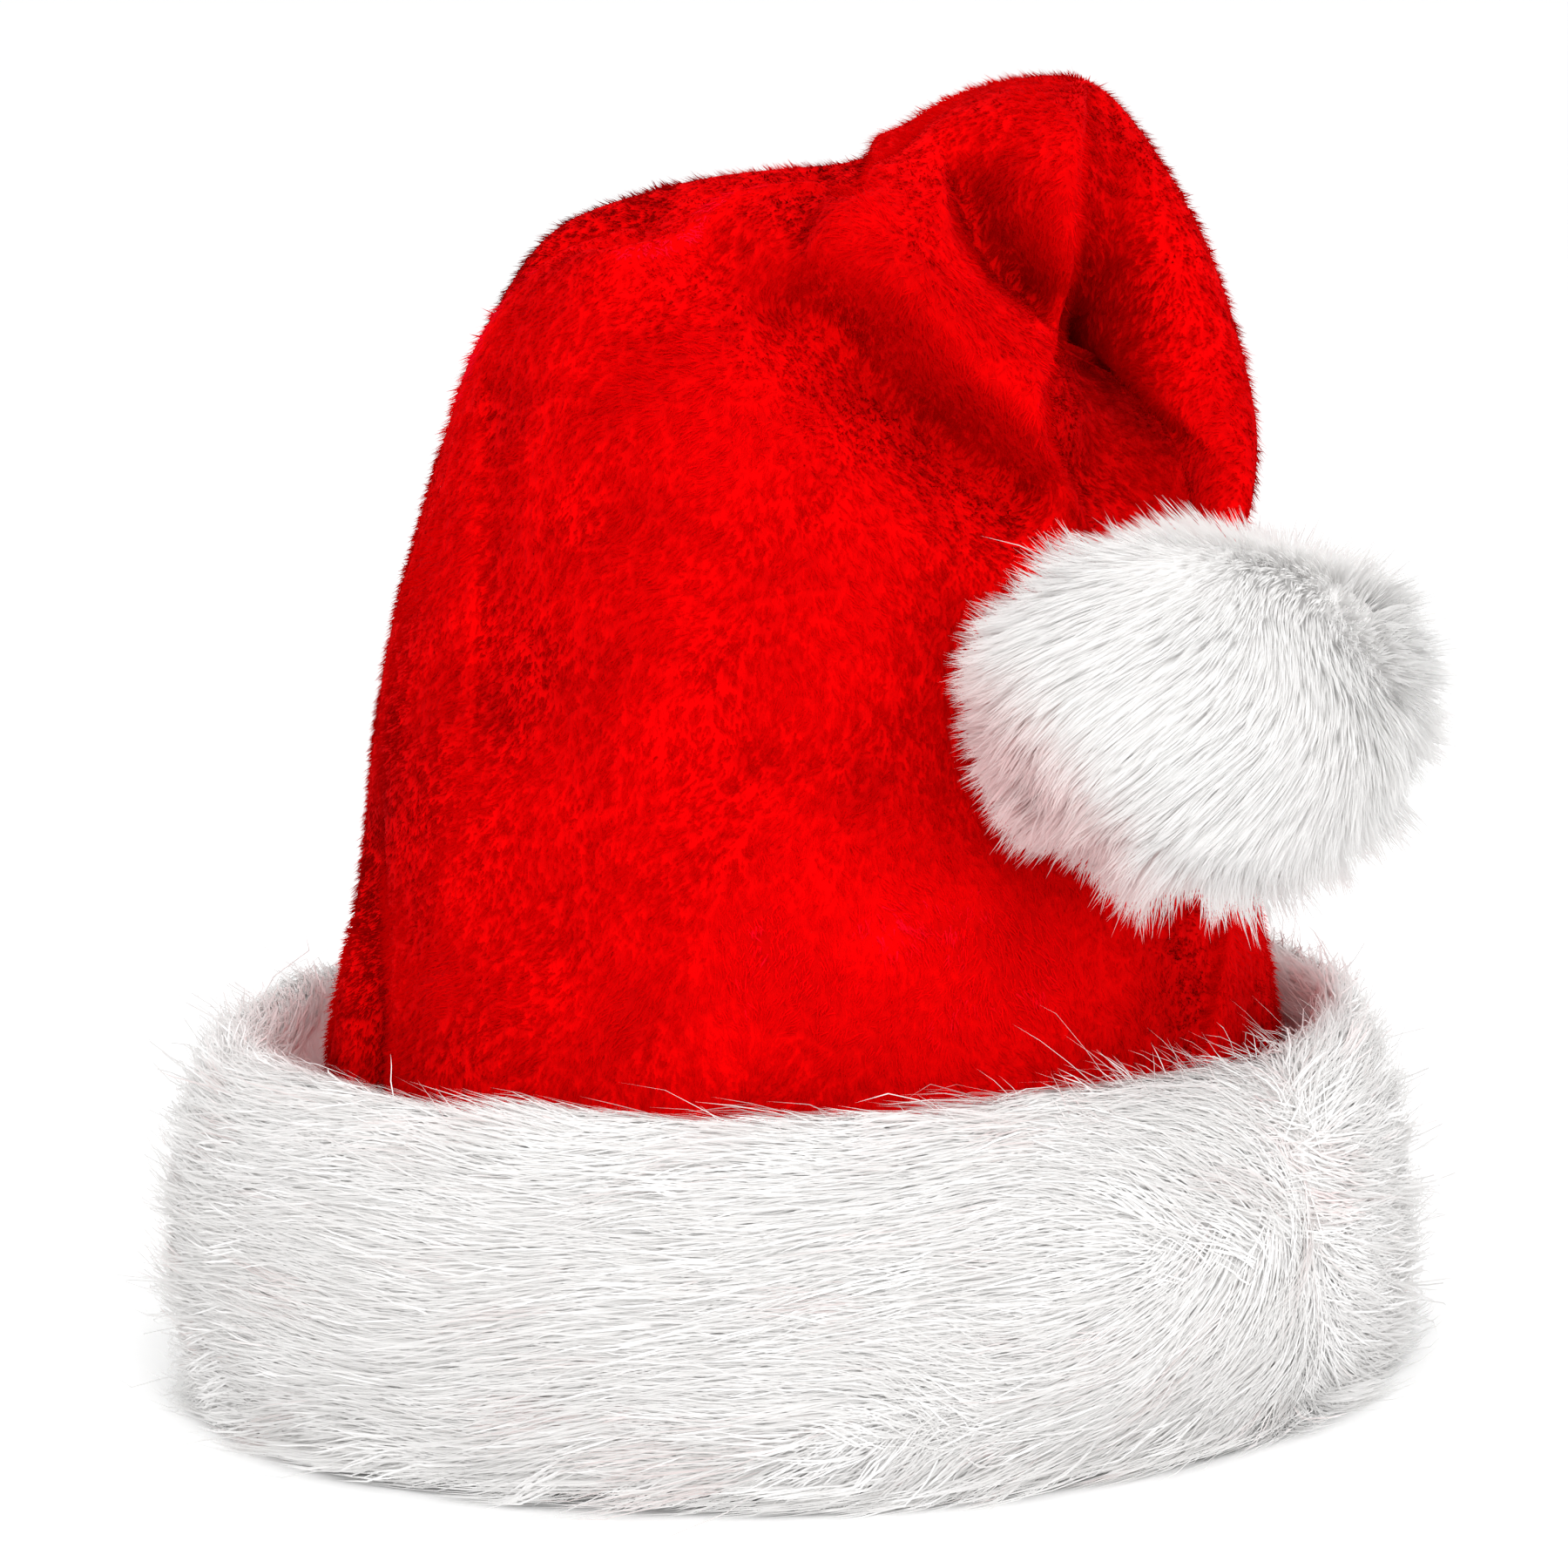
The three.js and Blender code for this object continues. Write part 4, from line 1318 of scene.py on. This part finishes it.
@dataclass
class Pompom:
    """The fur pompom: a padded heart and the hair that grows on it.

    Attributes:
        middle: The middle of the ball.
        heart: Half sizes of the padded heart.
        hair_count: How many hairs.
        hair_length: Their usual length.
        hair_width: Half their usual width.
        clump: Hairs that lie together.
        tuft_count: How many larger tufts the hair closes up to.
        whorl: The way the whorl, which the hair runs away from, faces.
        smooth_side: The side whose hair lies flat. Elsewhere it stands out in tufts.
        shaded_side: The side whose hair gets painted shade and painted red reflected from the crown.
        comb: The way all the hair is combed.
        sweep: How far the hair is swept round the whorl.
        lean: How far the hair of the smooth side leans over.
        root_share: How far out in the heart the hair starts.
        tone: Where on the palette the hair lies, out of the shade.
        steps: Points along a hair.
        tufts: Longer or shorter tufts, by their direction, spread in degrees and share of length.
    """

    middle: Way
    heart: Way = (37.0, 29.0, 29.0)
    hair_count: int = 38000
    hair_length: float = 13.0
    hair_width: float = 0.14
    clump: int = 12
    tuft_count: int = 260
    whorl: Way = (0.42, 0.65, 0.63)
    smooth_side: Way = (0.35, -0.75, 0.55)
    shaded_side: Way = (-0.85, -0.1, -0.5)
    comb: Way = (-0.2, 0.0, 0.0)
    sweep: float = 0.1
    lean: float = 1.35
    root_share: float = 0.97
    tone: float = 0.98
    steps: int = 4
    tufts: tuple[tuple[Way, float, float], ...] = (
        ((-0.2, -0.25, -1.0), 22.0, 1.25), ((-0.62, -0.3, -0.8), 13.0, 0.45),
        ((0.9, -0.2, 0.1), 30.0, 1.1), ((-0.9, -0.2, -0.45), 16.0, 0.85),
        ((0.0, -0.2, 1.0), 30.0, 0.75), ((0.65, 0.0, 0.75), 20.0, 1.35),
        ((0.7, -0.1, -0.7), 20.0, 1.1), ((-0.95, -0.2, 0.3), 12.0, 1.2),
    )
    ball: Object | None = None
    pieces: list[Object] = field(default_factory=list)

    def build(self) -> None:
        """Make the pompom's meshes."""
        self.ball = self._heart()
        self.pieces = [self.ball, self._hair()]

    def _heart(self) -> Object:
        """Shape the padded heart.

        Returns:
            The heart.
        """
        deselect_all()
        bpy.ops.mesh.primitive_ico_sphere_add(subdivisions=4, radius=1.0)
        ball = bpy.context.object
        ball.name = ball.data.name = "pompom_heart"
        places = points_of(ball) * MM
        lumps = SoftNoise(41, 0.9).at(places)
        places = places * (1.0 + 0.05 * lumps[:, None]) * np.array(self.heart)
        place_points(ball, places + np.array(self.middle))
        bpy.ops.object.shade_smooth()
        return ball

    def _hair(self) -> Object:
        """Grow hair all over the heart.

        Returns:
            The hair as one piece.
        """
        rng = np.random.default_rng(57)
        count = self.hair_count

        # roots, evenly over the ball, in clumps and tufts
        height = 1.0 - 2.0 * (np.arange(count) + 0.5) / count
        turn = np.arange(count) * math.pi * (3.0 - math.sqrt(5.0))
        ring = np.sqrt(1.0 - height**2)
        out = np.stack([ring * np.cos(turn), ring * np.sin(turn), height], axis=1)
        out = unit(out + rng.normal(0.0, 0.03, (count, 3)))
        guides = out[rng.choice(count, count // self.clump, replace=False)]
        owner = nearest_of(guides, out)
        tufts = out[rng.choice(count, self.tuft_count, replace=False)]
        tuft = nearest_of(tufts, out)

        # the way the hairs lie and how far they reach
        whorl = unit(np.array(self.whorl))
        away = out * (out @ whorl)[:, None] - whorl
        away = away + self.sweep * np.cross(out, whorl) + np.array(self.comb)
        pressed = ramp(-0.35, 0.6, out @ unit(np.array(self.smooth_side)))
        pressed *= 1.0 - 0.45 * ramp(0.5, 0.95, out[:, 0])
        loose = 1.0 - 0.75 * pressed
        twist = 0.4 * SoftNoise(61, 1.1).at(out) + 0.25 * loose * rng.normal(0.0, 1.0, len(guides))[owner]
        lean = self.lean * pressed * ramp(0.0, 0.5, np.linalg.norm(away, axis=1))
        lean *= 1.0 + 0.25 * SoftNoise(62, 0.8).at(out)
        away = rotate_about(unit(away), out, twist)
        reach = self.hair_length * np.clip(rng.normal(0.92, 0.14, count), 0.5, 1.12)
        reach *= 1.0 + 0.18 * loose * rng.normal(0.0, 1.0, len(tufts))[tuft]
        reach *= np.where((rng.random(count) < 0.008) & (out[:, 2] > 0.6), 1.5, 1.0)
        for way, spread, share in self.tufts:
            near = np.degrees(np.arccos(np.clip(out @ unit(np.array(way)), -1.0, 1.0)))
            reach *= 1.0 + (share - 1.0) * fade(near, spread)
        stray = rng.normal(0.0, 0.28, (len(guides), 3))[owner] + rng.normal(0.0, 0.12, (count, 3))
        stray *= loose[:, None]
        pull = loose[:, None] * (0.5 * (guides[owner] - out) + 1.3 * (tufts[tuft] - out))

        # the hairs' lines, step by step from root to tip
        along_hair = np.linspace(0.0, 1.0, self.steps)
        lines = [np.array(self.middle) + out * np.array(self.heart) * self.root_share]
        for t0, t1 in zip(along_hair[:-1], along_hair[1:]):
            t = (t0 + t1) / 2.0
            way = out + away * (lean * (0.9 + 0.9 * t))[:, None] + stray * t + pull * t * 1.6
            way[:, 2] -= 0.2 * t
            lines.append(lines[-1] + unit(way) * (reach * (t1 - t0))[:, None])
        line = np.stack(lines, axis=1)

        # how they take the light
        along = unit(np.gradient(line, axis=1))
        front = np.zeros((count, 3))
        front[:, 1] = np.where(out[:, 1] < 0.25, -1.0, 1.0)
        open_side = (out + 0.8 * front)[:, None]
        rise = unit(open_side - along * (open_side * along).sum(2, keepdims=True))
        roll = np.clip(rng.normal(0.0, 0.1, (count, 1, 1)), -0.3, 0.3)
        lit = front + np.array([0.0, 0.0, 0.4])
        normal = unit((out + 0.8 * lit)[:, None] + 0.4 * rise + roll * np.cross(along, rise))
        width = self.hair_width * (0.8 + 0.4 * rng.random((count, 1))) * np.sqrt(1.0 - along_hair**2)
        clump = rng.normal(0.0, 1.0, len(guides))[owner]
        # painted shade and painted red reflection on the side towards the crown
        shaded = ramp(0.2, 0.95, out @ unit(np.array(self.shaded_side)))
        tone = self.tone - 0.75 * shaded + 0.03 * clump + rng.normal(0.0, 0.03, count)
        return Strands(line, rise, normal, width, np.clip(tone, 0.02, 0.98)).mesh("pompom_fur")

    def dress(self) -> None:
        """Give the pieces their finishes, hide the solid they replace and attach the pieces to the body.
        """
        for piece, finish in zip(self.pieces, (WHITE_CLOTH, POMPOM_FUR)):
            piece.data.materials.append(finish.material())
        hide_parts("pompom")
        hand_over(self.pieces)


@dataclass(frozen=True)
class SoftLight:
    """A square soft light.

    Attributes:
        name: Its name.
        place: Where it hangs, in metres.
        size: Its side, in metres.
        power: Its power, in watts.
    """

    name: str
    place: Way
    size: float
    power: float

    def hang(self, target: Vector) -> None:
        """Hang the light so that it faces a target.

        Args:
            target: What it faces, in metres.
        """
        data = bpy.data.lights.new(self.name, "AREA")
        data.size = self.size
        data.energy = self.power
        lamp = bpy.data.objects.new(self.name, data)
        lamp.location = self.place
        lamp.rotation_euler = (target - Vector(self.place)).to_track_quat("-Z", "Y").to_euler()
        bpy.context.scene.collection.objects.link(lamp)


@dataclass
class Studio:
    """The pale floor, the soft lights and the camera.

    Attributes:
        target: What the camera was set up on.
        distance: How far the camera stands from it.
        elevation_deg: The camera's height above the horizon.
        roll_deg: The camera's roll.
        lens: The camera's lens on a 36 mm sensor.
        aim_right: How far right of the target the camera aims.
        aim_up: How far above the target the camera aims.
        bright_side: Where the studio's dome of light is brightest.
        dome_level: The dome's usual brightness.
        dome_swing: How far its bright side differs.
        lights: The soft lights.
    """

    target: Array
    distance: float = 1150.0
    elevation_deg: float = 8.5
    roll_deg: float = -1.8
    lens: float = 127.08
    aim_right: float = -0.9
    aim_up: float = -12.1
    bright_side: Way = (0.12, -0.8, 0.55)
    dome_level: float = 0.96
    dome_swing: float = 0.40
    lights: tuple[SoftLight, ...] = (
        SoftLight("key", (0.25, -1.5, 1.2), 0.9, 11.0),
        SoftLight("top", (-0.2, 0.4, 1.6), 1.0, 3.0),
    )

    def build(self) -> None:
        """Make the floor, the dome, the lights and the camera."""
        self._floor()
        self._dome()
        for light in self.lights:
            light.hang(Vector(self.target * MM))
        self._camera()
        bpy.context.scene.view_settings.view_transform = "Standard"

    def _floor(self) -> None:
        """Lay a large pale floor."""
        deselect_all()
        bpy.ops.mesh.primitive_plane_add(size=80.0)
        floor = bpy.context.object
        floor.name = floor.data.name = "floor"
        finish = Finish("pale floor")
        pale = {"Base Color": (0.92, 0.92, 0.92, 1.0), "Roughness": 0.9, "Specular IOR Level": 0.1}
        finish.feed(finish.shader, pale)
        floor.data.materials.append(finish.material)

    def _dome(self) -> None:
        """Surround the scene with white light that is brighter on one side."""
        world = bpy.data.worlds.new("studio")
        world.use_nodes = True
        nodes = Nodes(world.node_tree)
        way = nodes.add("ShaderNodeTexCoord").outputs["Generated"]
        bright = Vector(self.bright_side).normalized()
        towards = nodes.add("ShaderNodeVectorMath", {0: way, 1: bright}, operation="DOT_PRODUCT")
        swing = {0: towards.outputs["Value"], 1: self.dome_swing, 2: self.dome_level}
        level = nodes.add("ShaderNodeMath", swing, operation="MULTIPLY_ADD")
        white = {"Color": (1.0, 1.0, 1.0, 1.0), "Strength": level.outputs[0]}
        nodes.feed(world.node_tree.nodes["Background"], white)
        bpy.context.scene.world = world

    def _camera(self) -> None:
        """Stand the camera where the photograph was taken from."""
        rise = math.radians(self.elevation_deg)
        roll = math.radians(self.roll_deg)
        target = Vector(self.target * MM)
        place = target + Vector((0.0, -math.cos(rise), math.sin(rise))) * self.distance * MM
        right, up = Vector((1.0, 0.0, 0.0)), Vector((0.0, math.sin(rise), math.cos(rise)))
        aim = target + right * self.aim_right * MM + up * self.aim_up * MM
        back = (place - aim).normalized()
        level = Vector((0.0, 0.0, 1.0)).cross(back).normalized()
        upright = back.cross(level)
        turned = level * math.cos(roll) + upright * math.sin(roll)
        data = bpy.data.cameras.new("camera")
        data.lens = self.lens
        data.sensor_width = 36.0
        camera = bpy.data.objects.new("camera", data)
        frame = Matrix((turned, back.cross(turned), back)).transposed().to_4x4()
        frame.translation = place
        camera.matrix_world = frame
        bpy.context.scene.collection.objects.link(camera)
        bpy.context.scene.camera = camera


def report(pieces: list[Object]) -> None:
    """Log each piece with its number of triangles."""
    for piece in pieces:
        piece.data.calc_loop_triangles()
        LOG.info("%s: %d triangles", piece.name, len(piece.data.loop_triangles))


def hem_middle(solid: Object) -> Array:
    """Find the middle of the crown's hem on the floor.

    Args:
        solid: The crown's solid.

    Returns:
        The middle, in millimetres.
    """
    places = points_of(solid)
    ring = places[places[:, 2] < places[:, 2].min() + 0.2]
    middle = (ring.min(0) + ring.max(0)) / 2.0
    middle[2] = 0.0
    return middle


def main() -> None:
    """Build and dress the hat and its studio."""
    logging.basicConfig(level=logging.INFO, format="%(name)s %(message)s")
    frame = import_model()
    solid = frame["nodes"]["crown"]
    hem = hem_middle(solid)
    Studio(target=np.array([hem[0], hem[1], 133.0])).build()
    crown = Crown()
    crown.build(solid, hem)
    crown.dress()
    report(crown.pieces)
    cuff = FurCuff(CuffShape(hem=hem))
    cuff.build()
    cuff.dress()
    report(cuff.pieces)
    low, high = (np.array(corner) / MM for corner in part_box("pompom"))
    off_middle = np.array([3.0, 0.0, 0.5])
    pompom = Pompom(middle=tuple((low + high) / 2.0 + off_middle))
    pompom.build()
    pompom.dress()
    report(pompom.pieces)


if __name__ == "__main__":
    main()
